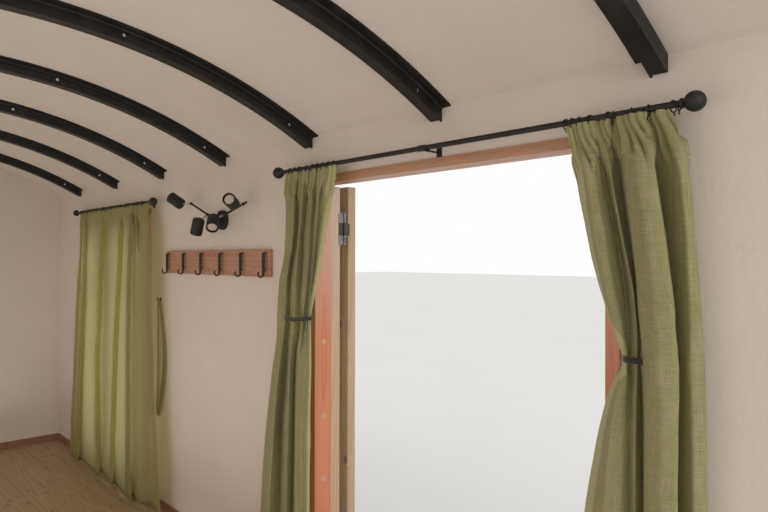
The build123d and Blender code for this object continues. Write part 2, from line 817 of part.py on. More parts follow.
# skirting
skirting_runs = (
    (x_open, main_frame_right, y_front, y_front + skirting_thickness),
    (main_frame_left, far_frame_right, y_front, y_front + skirting_thickness),
    (far_frame_left, x_end, y_front, y_front + skirting_thickness),
    (x_end - skirting_thickness, x_end, y_front, half_width),
    (x_open, x_end, half_width - skirting_thickness, half_width),
)
with BuildPart() as skirting:
    for x_from, x_to, y_from, y_to in skirting_runs:
        with Locations((x_from, y_from, floor_top)):
            Box(x_to - x_from, y_to - y_from, skirting_height, align=(Align.MIN, Align.MIN, Align.MIN))
skirting.part.label = "skirting"
export_step(skirting.part, "parts/skirting.step")
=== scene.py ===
"""Looks for the end section of a railway carriage cabin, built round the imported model.

Everything is in metres, in the model's own frame: the doorway side faces -Y and the closed end is at +X.
"""
import math
import random

import bpy
import bmesh
from mathutils import Matrix, Vector, noise


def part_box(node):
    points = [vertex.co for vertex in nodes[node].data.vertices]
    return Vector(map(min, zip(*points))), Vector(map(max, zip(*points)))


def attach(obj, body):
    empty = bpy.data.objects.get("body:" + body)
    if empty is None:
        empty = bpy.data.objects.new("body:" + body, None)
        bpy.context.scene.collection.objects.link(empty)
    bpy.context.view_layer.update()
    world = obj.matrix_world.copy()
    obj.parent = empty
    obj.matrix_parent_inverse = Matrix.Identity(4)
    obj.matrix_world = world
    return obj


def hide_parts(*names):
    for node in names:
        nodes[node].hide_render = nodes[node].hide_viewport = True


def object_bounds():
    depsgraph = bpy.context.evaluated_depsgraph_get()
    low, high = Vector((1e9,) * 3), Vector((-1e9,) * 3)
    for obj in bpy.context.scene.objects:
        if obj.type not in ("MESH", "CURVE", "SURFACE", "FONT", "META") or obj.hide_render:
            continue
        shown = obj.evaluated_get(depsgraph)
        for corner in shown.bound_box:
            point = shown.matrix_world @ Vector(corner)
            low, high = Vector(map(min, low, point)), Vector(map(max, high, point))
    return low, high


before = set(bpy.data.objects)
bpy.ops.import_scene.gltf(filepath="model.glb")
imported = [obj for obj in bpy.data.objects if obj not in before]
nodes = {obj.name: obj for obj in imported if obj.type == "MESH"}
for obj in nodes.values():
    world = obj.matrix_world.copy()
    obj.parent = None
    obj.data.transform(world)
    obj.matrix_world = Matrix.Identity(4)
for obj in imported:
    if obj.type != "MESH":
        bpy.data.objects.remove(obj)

start_low, start_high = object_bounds()

# places taken from the model
deck_low, deck_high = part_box("floor_deck")
wall_low, wall_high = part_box("front_wall_middle_panel")
pole_low, pole_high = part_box("main_curtain_pole")
X_OPEN, X_END = deck_low.x, deck_high.x
FLOOR = deck_high.z
Y_WALL, Y_OUT = wall_high.y, wall_low.y
Y_BACK_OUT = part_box("back_wall")[1].y
POLE_Y = (pole_low.y + pole_high.y) / 2
CEILING_RADIUS = 2.630
ROOF_THICKNESS = 0.058
ARC_Z = start_high.z - CEILING_RADIUS - ROOF_THICKNESS

# the camera stands just outside the open end, where the photograph was taken from
EYE = Vector((-3.1922, 0.5276, 1.8200))
LOOK = Vector((0.7242, -0.6896, 0.0044))
ROLL = math.radians(0.13)
LENS = 29.21


# materials
class NodeTree:
    """Short names for adding nodes to a tree."""

    def __init__(self, tree):
        self.tree = tree

    def link(self, a, b):
        self.tree.links.new(a, b)

    def fill(self, socket, value):
        """Sets a socket to a constant, or links it to another node's output."""
        if isinstance(value, bpy.types.NodeSocket):
            self.link(value, socket)
        elif socket.type == "RGBA":
            socket.default_value = (*value, 1)
        else:
            socket.default_value = value

    def add(self, kind, **values):
        """A node with its settings and its named inputs filled in."""
        made = self.tree.nodes.new("ShaderNode" + kind)
        for key, value in values.items():
            if hasattr(made, key):
                setattr(made, key, value)
            else:
                self.fill(made.inputs[key.replace("_", " ")], value)
        return made

    def math(self, how, a, b=0.0):
        made = self.add("Math", operation=how)
        self.fill(made.inputs[0], a)
        self.fill(made.inputs[1], b)
        return made.outputs[0]

    def blend(self, factor, first, second):
        """One shader where the factor is 0, and the other where it is 1."""
        made = self.add("MixShader", Fac=factor)
        self.link(first.outputs[0], made.inputs[1])
        self.link(second.outputs[0], made.inputs[2])
        return made.outputs[0]


class Paint(NodeTree):
    """One material with a Principled shader."""

    def __init__(self, name, base, rough, **sockets):
        self.mat = bpy.data.materials.new(name)
        self.mat.use_nodes = True
        super().__init__(self.mat.node_tree)
        self.shader = self.tree.nodes["Principled BSDF"]
        self.out = self.tree.nodes["Material Output"]
        for key, value in {"Base Color": base, "Roughness": rough, **sockets}.items():
            self.fill(self.shader.inputs[key.replace("_", " ")], value)

    def place(self, scale=(1, 1, 1), shift=(0, 0, 0), uv=None):
        """Coordinates in metres, of the object or of a cloth's flat cut, stretched and shifted as asked."""
        if uv:
            source = self.add("UVMap", uv_map=uv).outputs["UV"]
        else:
            source = self.add("TexCoord").outputs["Object"]
        return self.add("Mapping", Vector=source, Scale=scale, Location=shift).outputs["Vector"]

    def noise(self, where, scale, detail=3.0, rough=0.55, distort=0.0):
        made = self.add("TexNoise", Vector=where, Scale=scale, Detail=detail, Roughness=rough,
                        Distortion=distort)
        return made.outputs["Fac"]

    def cells(self, where, scale):
        """Distance to the nearest of many scattered points."""
        return self.add("TexVoronoi", Vector=where, Scale=scale, Randomness=1.0).outputs["Distance"]

    def ramp(self, factor, *stops):
        made = self.add("ValToRGB", Fac=factor)
        elements = made.color_ramp.elements
        while len(elements) < len(stops):
            elements.new(0.5)
        for element, (at, colour) in zip(elements, stops):
            element.position = at
            element.color = (*colour, 1)
        return made.outputs["Color"]

    def step(self, factor, low, high):
        """0 below low, 1 above high, and even between them."""
        return self.ramp(factor, (low, (0, 0, 0)), (high, (1, 1, 1)))

    def mix(self, factor, a, b):
        made = self.add("Mix", data_type="RGBA")
        for number, value in ((0, factor), (6, a), (7, b)):
            self.fill(made.inputs[number], value)
        return made.outputs[2]

    def times(self, a, b):
        return self.math("MULTIPLY", a, b)

    def plus(self, a, b):
        return self.math("ADD", a, b)

    def flip(self, a):
        return self.math("SUBTRACT", 1.0, a)

    def between(self, value, low, high):
        """1 where a value lies between two limits, and 0 elsewhere."""
        return self.times(self.math("GREATER_THAN", value, low), self.math("LESS_THAN", value, high))

    def axis(self, letter, where=None):
        """One of the coordinates of a place, or of the object."""
        return self.add("SeparateXYZ", Vector=where or self.place()).outputs[letter]

    def bump(self, height, strength, distance):
        normal = self.add("Bump", Strength=strength, Distance=distance, Height=height).outputs["Normal"]
        self.link(normal, self.shader.inputs["Normal"])
        return normal

    def colour(self, socket):
        self.link(socket, self.shader.inputs["Base Color"])

    def roughness(self, factor, low, high):
        made = self.add("MapRange", Value=factor, To_Min=low, To_Max=high)
        self.link(made.outputs["Result"], self.shader.inputs["Roughness"])


def stretched(along, by):
    """A scale that draws a pattern out along X, Y or Z."""
    return tuple(by if letter == along else 1.0 for letter in "XYZ")


def speckled(name, tone, rough, patches, one, other, grit, **sockets):
    """A simple material of two patched colours and a fine bump.

    patches is the scale and detail of the patches. grit is those of the bump, with its strength and depth.
    """
    p = Paint(name, tone, rough, **sockets)
    p.colour(p.ramp(p.noise(p.place(), *patches), one, other))
    scale, detail, strength, distance = grit
    p.bump(p.noise(p.place(), scale, detail), strength, distance)
    return p


def shade(colour, by):
    """A colour made lighter or darker, kept below white."""
    return tuple(min(0.95, c * k) for c, k in zip(colour, by if isinstance(by, tuple) else (by,) * 3))


def painted_lining(name, tone):
    """Emulsion on a lightly uneven board, rolled on, with faint broad patches."""
    p = Paint(name, tone, 0.86)
    where = p.place()
    broad = p.ramp(p.noise(where, 1.3, 2), (0.3, shade(tone, (0.93, 0.92, 0.90))), (0.7, tone))
    patchy = p.ramp(p.noise(where, 7, 3), (0.35, shade(tone, 0.94)), (0.65, shade(tone, 1.05)))
    p.colour(p.mix(0.2, broad, patchy))
    stipple = p.times(p.noise(where, 210, 3, 0.6), 0.35)
    lumps = p.plus(p.noise(where, 46, 2), p.noise(where, 9, 2, 0.5, 0.4))
    p.bump(p.plus(stipple, lumps), 0.55, 0.0026)
    return p


def timber(name, light, dark, along, rough=0.5, coat=0.0, rings=13.0, knots=0.0, shift=0.0, outer=None,
           painted_sheen=None):
    """Softwood cut along X, Y or Z. Growth rings are contour lines of a stretched noise, bent round knots.

    outer is a second pair of tones and the Y beyond which they show, where a piece is made of two boards.
    The two heights given last are where the wood is painted paler towards the top: a painted reflection of
    the sky on the varnish.
    """
    p = Paint(name, light, rough, Coat_Weight=coat, Coat_Roughness=0.25)
    where = p.place(stretched(along, 0.05), (shift, 1.7 * shift, 0.6 * shift))
    field = p.noise(where, 6.0, 2, 0.45)
    if knots:
        distance = p.cells(p.place(stretched(along, 0.62), (shift, shift, shift)), 10.5)
        near_knot = p.flip(p.step(distance, 0.10, 0.17))
        bend = p.flip(p.step(distance, 0.0, 0.34))
        field = p.plus(field, p.times(bend, 0.10))
    growth = p.math("FRACT", p.times(field, rings))
    fine = p.noise(where, 290, 2, 0.7)
    slow = p.noise(where, 9, 2)

    def body(pale, deep):
        middle = tuple((a + b) / 2 for a, b in zip(pale, deep))
        lines = p.ramp(growth, (0.0, pale), (0.50, shade(pale, 0.97)), (0.86, deep), (1.0, pale))
        worn = p.mix(0.25, lines, pale)
        streaked = p.mix(p.times(slow, 0.55), worn, middle)
        return p.mix(0.20, streaked, p.ramp(fine, (0.32, shade(deep, 0.75)), (0.55, pale)))

    tone = body(light, dark)
    if outer:
        (light_2, dark_2), beyond = outer
        tone = p.mix(p.math("LESS_THAN", p.axis("Y"), beyond), tone, body(light_2, dark_2))
    if knots:
        tone = p.mix(p.times(near_knot, knots), tone, shade(dark, 0.42))
    # painted reflection: the wood turns paler up the reveal, standing in for the sky seen on the varnish
    if painted_sheen:
        height = p.add("MapRange", Value=p.axis("Z"), From_Min=painted_sheen[0], From_Max=painted_sheen[1])
        tone = p.mix(p.times(height.outputs["Result"], PAINTED_SHEEN_SHARE), tone, PAINTED_SHEEN_TONE)
    p.colour(tone)
    p.roughness(growth, rough - 0.05, rough + 0.09)
    p.bump(p.plus(p.times(growth, 0.5), p.times(fine, 0.7)), 0.20, 0.0008)
    return p


def painted_boards(name, tone, along):
    """Outside paint brushed along the boards, a little weathered."""
    p = Paint(name, tone, 0.66)
    brushed = p.noise(p.place(stretched(along, 0.03)), 130, 3, 0.6)
    weathered = p.noise(p.place(), 2.2, 4, 0.6)
    streaks = p.ramp(brushed, (0.3, shade(tone, 0.88)), (0.7, shade(tone, 1.08)))
    p.colour(p.mix(0.35, streaks, p.ramp(weathered, (0.4, shade(tone, 0.92)), (0.7, shade(tone, 1.05)))))
    p.roughness(weathered, 0.58, 0.74)
    p.bump(brushed, 0.35, 0.0009)
    return p


def black_metal(name, tone=0.017, rough=0.45, grit=240, strength=0.12):
    """Black paint on iron, dusty in places."""
    p = Paint(name, (tone, tone, tone), rough, Metallic=0.25)
    where = p.place()
    dust = p.noise(where, 14, 4)
    dusty = shade((tone, tone, tone), (2.1, 2.05, 1.9))
    p.colour(p.ramp(dust, (0.42, (tone, tone, tone * 0.97)), (0.75, dusty)))
    p.roughness(dust, rough - 0.06, rough + 0.16)
    p.bump(p.noise(where, grit, 3), strength, 0.0008)
    return p


def linen(name, base, glow, through, backlit_strip):
    """Slubbed plain weave of khaki and green yarns that lets daylight through. u runs across it, v up it.

    The last argument is the strip of u, beside the doorway, painted paler and yellower: painted backlight,
    standing in for daylight shining through the cloth's edge.
    """
    p = Paint(name, base, 0.85, Sheen_Weight=0.2, Sheen_Roughness=0.5, Specular_IOR_Level=0.2)

    def yarn(across, along, rough):
        return p.noise(p.place((across, along, 1), uv="cloth"), 1.0, 2, rough)

    warp = yarn(720, 14, 0.5)
    weft = yarn(11, 640, 0.5)
    warp_slub = yarn(380, 11, 0.6)
    weft_slub = yarn(12, 340, 0.6)
    straw = shade(base, (1.50, 1.30, 1.62))
    moss = shade(base, (0.55, 0.74, 0.50))
    brown = shade(base, (0.78, 0.58, 0.52))
    up_and_down = p.mix(p.step(warp, 0.40, 0.60), moss, base)
    tone = p.mix(0.5, up_and_down, p.mix(p.step(weft, 0.40, 0.60), base, straw))
    # painted backlight: a paler, yellower strip beside the doorway, standing in for daylight through the
    # cloth
    painted_backlight = p.between(p.axis("X", p.place(uv="cloth")), *backlit_strip)
    for factor, share, colour in (
        (p.step(warp_slub, 0.54, 0.64), 0.70, straw),
        (p.flip(p.step(warp_slub, 0.36, 0.46)), 0.70, brown),
        (p.step(weft_slub, 0.55, 0.65), 0.65, moss),
        (p.flip(p.step(weft_slub, 0.35, 0.45)), 0.60, straw),
        (yarn(6, 3, 0.55), 0.20, straw),
        (painted_backlight, 0.55, glow),
    ):
        tone = p.mix(p.times(factor, share), tone, colour)
    p.colour(tone)
    threads = p.plus(p.plus(warp, weft), p.plus(warp_slub, weft_slub))
    normal = p.bump(threads, 0.30, 0.0009)
    veil = p.add("BsdfTranslucent", Color=p.mix(0.70, tone, glow), Normal=normal)
    p.link(p.blend(through, p.shader, veil), p.out.inputs["Surface"])
    return p


wall_paint = painted_lining("lining_paint", (0.730, 0.655, 0.590))


def ceiling_lining():
    """The roof panels: painted below the ceiling's arc, grey felt above it."""
    p = painted_lining("ceiling_paint", (0.730, 0.662, 0.605))
    radius = p.add("VectorMath", operation="LENGTH", Vector=p.place((0, 1, 1), (0, 0, -ARC_Z)))
    above = p.math("GREATER_THAN", radius.outputs["Value"], CEILING_RADIUS + 0.004)
    painted = p.shader.inputs["Base Color"].links[0].from_socket
    felt = p.ramp(p.noise(p.place(), 34, 5, 0.7), (0.3, (0.112, 0.116, 0.118)), (0.7, (0.150, 0.153, 0.152)))
    p.colour(p.mix(above, painted, felt))
    return p


ceiling_paint = ceiling_lining()

REDWOOD = ((0.540, 0.300, 0.185), (0.390, 0.165, 0.090))
REVEAL = ((0.690, 0.262, 0.112), (0.520, 0.140, 0.048))
HONEY = ((0.640, 0.460, 0.285), (0.480, 0.290, 0.150))
DOOR = ((0.600, 0.440, 0.270), (0.430, 0.270, 0.135))
# the pale tone of the painted reflection up the doorway's reveals, and how much of it shows at the top
PAINTED_SHEEN_TONE = (0.740, 0.590, 0.510)
PAINTED_SHEEN_SHARE = 0.62
# the doorways' frames are redwood inside this place and paler wood outside it
STOP_Y = -1.3265
redwood_x = timber("redwood_x", *REDWOOD, "X", 0.46, 0.12, outer=(HONEY, STOP_Y))
jamb_wood = timber("jamb_wood", *REVEAL, "Z", 0.40, 0.40, rings=16, outer=(HONEY, STOP_Y),
                   painted_sheen=(1.45, 2.10))
leaf_z = timber("leaf_z", *DOOR, "Z", 0.5, 0.1, knots=0.75, shift=0.7)
leaf_x = timber("leaf_x", *DOOR, "X", 0.5, 0.1, knots=0.75, shift=0.7)
rack_wood = timber("rack_wood", (0.470, 0.250, 0.160), (0.330, 0.135, 0.080), "X", 0.42, 0.15, shift=2.0)
skirting_wood = timber("skirting_wood", (0.320, 0.160, 0.095), (0.190, 0.080, 0.045), "X", 0.5)
floor_wood = timber("floor_wood", (0.430, 0.315, 0.190), (0.290, 0.185, 0.100), "X", 0.5, 0.1, knots=0.6)
SAGE = (0.285, 0.305, 0.250)
cladding_x = painted_boards("cladding_x", SAGE, "X")
cladding_y = painted_boards("cladding_y", SAGE, "Y")
frame_wood = timber("frame_wood", (0.075, 0.066, 0.058), (0.040, 0.035, 0.030), "X", 0.75)
bearer_wood = timber("bearer_wood", (0.085, 0.075, 0.065), (0.045, 0.040, 0.035), "Y", 0.78)

hoop_steel = black_metal("hoop_steel", 0.0125, 0.40, 120, 0.10)
packing_paint = black_metal("packing_paint", 0.021, 0.55, 90, 0.25)
iron = black_metal("iron", 0.013, 0.46)
lamp_black = black_metal("lamp_black", 0.012, 0.52, 400, 0.05)

strap_black = Paint("strap_black", (0.012, 0.012, 0.011), 0.8, Sheen_Weight=0.3)
strap_black.bump(strap_black.noise(strap_black.place((1, 1, 2.4)), 420, 2), 0.5, 0.0012)
fibres = strap_black.noise(strap_black.place(), 300, 2)
strap_black.colour(strap_black.ramp(fibres, (0.4, (0.008, 0.008, 0.008)), (0.7, (0.03, 0.03, 0.028))))

zinc = speckled("zinc", (0.55, 0.56, 0.585), 0.36, (60, 4), (0.3, (0.40, 0.41, 0.43)),
                (0.7, (0.62, 0.63, 0.66)), (500, 2, 0.06, 0.0005), Metallic=0.9)
zinc.roughness(zinc.noise(zinc.place(), 90, 3), 0.26, 0.48)


def hinge_metal(low, high):
    """Zinc plates, with the knuckle between them painted dark as painted shade."""
    p = Paint("hinge_metal", (0.3, 0.31, 0.33), 0.5, Metallic=0.7)
    knuckle = p.between(p.axis("Z"), low, high)
    plate = p.ramp(p.noise(p.place(), 60, 4), (0.3, (0.20, 0.205, 0.22)), (0.7, (0.34, 0.345, 0.365)))
    # painted shade: the knuckle is painted dark, standing in for the shadow on it
    knuckle_shade = p.ramp(p.noise(p.place(), 80, 3), (0.3, (0.05, 0.045, 0.04)), (0.7, (0.12, 0.11, 0.10)))
    p.colour(p.mix(knuckle, plate, knuckle_shade))
    p.bump(p.noise(p.place(), 500, 2), 0.06, 0.0005)
    return p


# the heights between which the upper hinges' knuckles show, painted dark as painted shade
hinge_zinc = hinge_metal(1.931, 1.992)

screw_metal = speckled("screw_metal", (0.10, 0.085, 0.06), 0.5, (300, 2), (0.4, (0.07, 0.06, 0.045)),
                       (0.7, (0.14, 0.12, 0.09)), (800, 2, 0.1, 0.0004), Metallic=0.7)
filler = speckled("filler", (0.60, 0.39, 0.28), 0.8, (180, 3), (0.4, (0.54, 0.32, 0.21)),
                  (0.65, (0.66, 0.47, 0.36)), (600, 2, 0.2, 0.0005))
roof_felt = speckled("roof_lap_felt", (0.13, 0.134, 0.135), 0.8, (34, 5, 0.7), (0.3, (0.100, 0.104, 0.106)),
                     (0.7, (0.140, 0.143, 0.142)), (160, 3, 0.3, 0.001))

glass = Paint("clear_glass", (0.93, 0.965, 0.95), 0.015, Transmission_Weight=1.0, IOR=1.01)
glass.bump(glass.noise(glass.place(), 3, 1), 0.01, 0.001)

bulb = Paint("bulb_glass", (0.70, 0.62, 0.55), 0.28, Transmission_Weight=0.1, Coat_Weight=0.5,
             Coat_Roughness=0.1)
ripple = bulb.cells(bulb.place(), 260.0)
bulb.bump(ripple, 0.3, 0.001)
bulb.colour(bulb.ramp(ripple, (0.1, (0.74, 0.66, 0.58)), (0.8, (0.52, 0.46, 0.41))))

LINEN = (0.330, 0.325, 0.155)
PALE = (0.640, 0.640, 0.300)
# the last two numbers of the near curtains are the strip painted paler beside the doorway, as painted
# backlight
right_cloth = linen("right_curtain_linen", LINEN, PALE, 0.26, (0.070, 0.150))
left_cloth = linen("left_curtain_linen", LINEN, PALE, 0.26, (0.0, 0.14))
# the far curtain is the same linen, its base made greyer and cooler: painted shade, standing in for the cool
# daylight shadow it hangs in
far_cloth = linen("far_curtain_linen", (0.310, 0.330, 0.195), (0.980, 0.900, 0.330), 0.62, (0.0, 0.0))


# making pieces
def put_in_scene(name, data):
    made = bpy.data.objects.new(name, data)
    bpy.context.scene.collection.objects.link(made)
    return made


def mesh_object(name, verts, faces, mats, smooth=True):
    mesh = bpy.data.meshes.new(name)
    mesh.from_pydata([tuple(v) for v in verts], [], faces)
    for p in mats:
        mesh.materials.append(p.mat)
    mesh.polygons.foreach_set("use_smooth", [smooth] * len(mesh.polygons))
    return put_in_scene(name, mesh)


def piece(name, verts, faces, mats, body="carriage", smooth=True, stands_for=(), slot=None, which=None):
    """A mesh object that rides on a body, with its faces turned outwards."""
    made = mesh_object(name, verts, faces, mats, smooth)
    mesh = made.data
    if which:
        mesh.polygons.foreach_set("material_index", which)
    fix = bmesh.new()
    fix.from_mesh(mesh)
    bmesh.ops.recalc_face_normals(fix, faces=fix.faces)
    fix.to_mesh(mesh)
    fix.free()
    if body:
        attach(made, body)
    if stands_for:
        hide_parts(*stands_for)
    return made


def heading(points, k):
    """Which way a line runs at its point k."""
    return (points[min(k + 1, len(points) - 1)] - points[max(k - 1, 0)]).normalized()


def circle(sides, radius=1.0):
    """Points round a circle, as (across, up) pairs."""
    turns = [2 * math.pi * k / sides for k in range(sides)]
    return [(radius * math.cos(t), radius * math.sin(t)) for t in turns]


class Heap:
    """Gathers several closed forms into one piece."""

    def __init__(self):
        self.verts, self.faces, self.which = [], [], []

    def put(self, verts, faces, index=0):
        base = len(self.verts)
        self.verts += [tuple(v) for v in verts]
        self.faces += [tuple(i + base for i in f) for f in faces]
        self.which += [index] * len(faces)

    def loft(self, rings, index=0, caps=True):
        """Closed rings of points joined one to the next, with its ends filled in."""
        n = len(rings[0])
        faces = []
        for r in range(len(rings) - 1):
            for i in range(n):
                j = (i + 1) % n
                faces.append((r * n + i, r * n + j, (r + 1) * n + j, (r + 1) * n + i))
        if caps:
            faces.append(tuple(range(n))[::-1])
            faces.append(tuple(range((len(rings) - 1) * n, len(rings) * n)))
        self.put([v for ring in rings for v in ring], faces, index)

    def box(self, low, high, index=0, edge=0.0005):
        """A box with its edges taken off."""
        (x0, y0, z0), (x1, y1, z1) = low, high
        rings = []
        for z, pull in ((z0, edge), (z0 + edge, 0), (z1 - edge, 0), (z1, edge)):
            a, b, c, d = x0 + pull, x1 - pull, y0 + pull, y1 - pull
            rings.append([(a + edge, c, z), (b - edge, c, z), (b, c + edge, z), (b, d - edge, z),
                          (b - edge, d, z), (a + edge, d, z), (a, d - edge, z), (a, c + edge, z)])
        self.loft(rings, index)

    def lathe(self, start, axis, outline, sides=32, index=0, caps=True):
        """A turned form: outline is (distance along the axis, radius)."""
        axis = Vector(axis).normalized()
        side = axis.orthogonal().normalized()
        other = axis.cross(side)
        rings = []
        for along, radius in outline:
            centre = Vector(start) + axis * along
            wide = max(radius, 0.00005)
            rings.append([centre + wide * (side * a + other * b) for a, b in circle(sides)])
        self.loft(rings, index, caps)

    def pipe(self, points, radius=0.0, sides=12, index=0, strap=None, closed=False, up=(0, 0, 1)):
        """A round bar swept along points, or a flat one.

        strap is the flat bar's half thickness and half width, or a list with one such pair for each point.
        """
        points = [Vector(p) for p in points]
        n = len(points)
        rings = []
        for k, at in enumerate(points):
            way = (points[(k + 1) % n] - points[k - 1]).normalized() if closed else heading(points, k)
            side = way.cross(Vector(up)).normalized()
            other = side.cross(way).normalized()
            if strap:
                w, t = strap[k] if isinstance(strap, list) else strap
                c = min(w, t) * 0.35
                outline = ((w, t - c), (w - c, t), (c - w, t), (-w, t - c),
                           (-w, c - t), (c - w, -t), (w - c, -t), (w, c - t))
            else:
                outline = circle(sides, radius)
            rings.append([at + side * a + other * b for a, b in outline])
        if closed:
            rings.append(rings[0])
        self.loft(rings, index, caps=not closed)

    def make(self, name, *mats, **more):
        return piece(name, self.verts, self.faces, mats, which=self.which, **more)


def sharpen(obj, angle):
    """Smooth faces with crisp edges where they meet at more than this angle."""
    edit = bmesh.new()
    edit.from_mesh(obj.data)
    limit = math.radians(angle)
    for edge in edit.edges:
        edge.smooth = len(edge.link_faces) == 2 and edge.calc_face_angle(0) < limit
    edit.to_mesh(obj.data)
    edit.free()


def bevel(obj, width, segments=2, angle=40):
    made = obj.modifiers.new("soft_edges", "BEVEL")
    made.width = width
    made.segments = segments
    made.limit_method = "ANGLE"
    made.angle_limit = math.radians(angle)


def curve_through(points, steps):
    """A smooth line through points, each run cut in steps."""
    points = [Vector(p) for p in points]
    out = []
    for k in range(len(points) - 1):
        p0, p1, p2 = points[max(k - 1, 0)], points[k], points[k + 1]
        p3 = points[min(k + 2, len(points) - 1)]
        for s in range(steps):
            t = s / steps
            out.append(0.5 * ((2 * p1) + (p2 - p0) * t + (2 * p0 - 5 * p1 + 4 * p2 - p3) * t * t
                              + (3 * p1 - p0 - 3 * p2 + p3) * t * t * t))
    out.append(points[-1])
    return out


def paint(node, p):
    node.data.materials.clear()
    node.data.materials.append(p.mat)


# materials of the nodes that stay as they are, by a part of their names
NODE_PAINTS = {
    "wall": wall_paint, "roof_panel": ceiling_paint, "roof_hoop": hoop_steel, "hoop_packing": packing_paint,
    "sole_bars": frame_wood, "floor_bearers": bearer_wood, "skirting": skirting_wood, "jambs": jamb_wood,
    "door_head": redwood_x, "door_sill": redwood_x, "_glass": glass, "hinge": hinge_zinc,
    "rack_board": rack_wood, "brackets": iron,
}
# how far their edges are rounded
NODE_EDGES = {
    "roof_hoop": 0.0016, "jambs": 0.0025, "door_head": 0.0025, "skirting": 0.0025, "door_sill": 0.0025,
    "rack_board": 0.0025, "hinge": 0.0006, "brackets": 0.0006,
}
for name, node in nodes.items():
    for part, p in NODE_PAINTS.items():
        if part in name:
            paint(node, p)
    for part, width in NODE_EDGES.items():
        if part in name:
            bevel(node, width)


# floor of separate boards, laid lengthwise
def floor_boards(count=19, seam=0.0007):
    chance = random.Random(11)
    heap = Heap()
    width = (deck_high.y - deck_low.y) / count
    for k in range(count):
        y0 = deck_low.y + k * width
        joint = chance.uniform(-2.4, 2.4)
        for x0, x1 in ((X_OPEN, joint), (joint, X_END)):
            heap.box((x0 + seam, y0 + seam, deck_low.z), (x1 - seam, y0 + width - seam, FLOOR), edge=0.0016)
    heap.make("floor_board_courses", floor_wood, smooth=False, stands_for=["floor_deck"], slot="floor_boards")


floor_boards()

# outside boarding: level courses, each lapped a little over the one below
COURSE = 0.142
PROUD = 0.015
THIN = 0.003
FIRST_COURSE = FLOOR - 0.028
# a strip of board lower or shorter than this is left out
SLIVER = 0.012


def board_section(out, z0, z1, gap=0.001, lip=0.008):
    """One board's section as (distance out from the wall, height)."""
    foot, head = z0 + gap, z1 - gap
    return [(0, foot), (out * PROUD, foot), (out * PROUD, z0 + lip), (out * THIN, head), (0, head)]


def side_boarding(name, y_face, out, openings):
    """Level boards along a side wall, left out at its openings, with a cut board over each opening's head."""
    heap = Heap()
    z = FIRST_COURSE
    top = ARC_Z + math.sqrt(CEILING_RADIUS ** 2 - y_face ** 2) - THIN
    while z < top - SLIVER:
        z1 = min(z + COURSE, top)
        runs = [(X_OPEN, X_END, z)]
        for x0, x1, head in openings:
            if z < head:
                halves = [half for a, b, low in runs for half in ((a, min(b, x0), low), (max(a, x1), b, low))]
                runs = [half for half in halves if half[1] - half[0] > SLIVER]
            if z < head < z1 - SLIVER:
                runs.append((x0, x1, head))
        for a, b, low in runs:
            section = board_section(out, low, z1)
            ends = (a + 0.0005, b - 0.0005)
            heap.loft([[(x, y_face + away, high) for away, high in section] for x in ends])
        z = z1
    heap.make(name, cladding_x, smooth=False, slot="wall_panel")


def end_boarding(step=0.03, least=0.015):
    """Level boards whose tops are cut to the roof's curve."""
    heap = Heap()
    z = FIRST_COURSE
    edge = CEILING_RADIUS - THIN
    while z < ARC_Z + edge - least:
        z1 = z + COURSE
        room = edge ** 2 - (z + least - ARC_Z) ** 2
        half = min(Y_BACK_OUT, math.sqrt(room))
        level = ARC_Z + math.sqrt(edge ** 2 - half ** 2) >= z1
        cuts = 1 if level else round(2 * half / step)
        rings = []
        for k in range(cuts + 1):
            y = half * (2 * k / cuts - 1)
            top = min(z1, ARC_Z + math.sqrt(edge ** 2 - y ** 2))
            rings.append([(X_END + away, y, high) for away, high in board_section(1, z, top)])
        heap.loft(rings)
        z = z1
    heap.make("end_boarding", cladding_y, smooth=False, slot="wall_panel")


def opening(jambs, head):
    """A doorway's two sides and the height its frame reaches, on the outside."""
    low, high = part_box(jambs)
    return low.x, high.x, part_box(head)[1].z


doorways = [opening("main_door_jambs", "main_door_head"), opening("far_door_jambs", "far_door_head")]
side_boarding("front_boarding", Y_OUT, -1, doorways)
side_boarding("back_boarding", Y_BACK_OUT, 1, [])
end_boarding()


# laps of the roof covering
def roof_laps(half_width=0.04, thick=0.003, pitch=1.02, shift=0.04, steps=48):
    heap = Heap()
    outer = CEILING_RADIUS + ROOF_THICKNESS
    reach = math.asin(start_high.y / outer)
    top = half_width - 0.002
    profile = ((-half_width, -0.001), (-top, thick), (top, thick), (half_width, -0.001))
    for number in range(-2, 3):
        x = pitch * number + shift
        rows = []
        for k in range(steps + 1):
            a = reach * (2 * k / steps - 1)
            rows.append([(x + dx, (outer + up) * math.sin(a), ARC_Z + (outer + up) * math.cos(a))
                         for dx, up in profile])
        heap.loft(rows)
    heap.make("roof_laps", roof_felt, slot="roof_skin")


roof_laps()

# door leaves, framed from stiles and rails, with a bead round each pane
STILE = 0.100
TOP_RAIL = 0.100
BOTTOM_RAIL = 0.190
BAR = 0.026
BAR_Z = 1.650


def bead(heap, inner, z0, z1, face, way, middle):
    """A sloping bead round one pane on one face of a leaf."""
    near = middle - way * 0.006
    far = face + way * 0.006
    x0, x1 = inner
    rings = []
    for x, z, sx, sz in ((x0, z0, 1, 1), (x1, z0, -1, 1), (x1, z1, -1, -1), (x0, z1, 1, -1), (x0, z0, 1, 1)):
        rings.append([(x, far, z), (x + sx * 0.004, far, z + sz * 0.004),
                      (x + sx * 0.011, near, z + sz * 0.011), (x, near, z)])
    heap.loft(rings, caps=False)


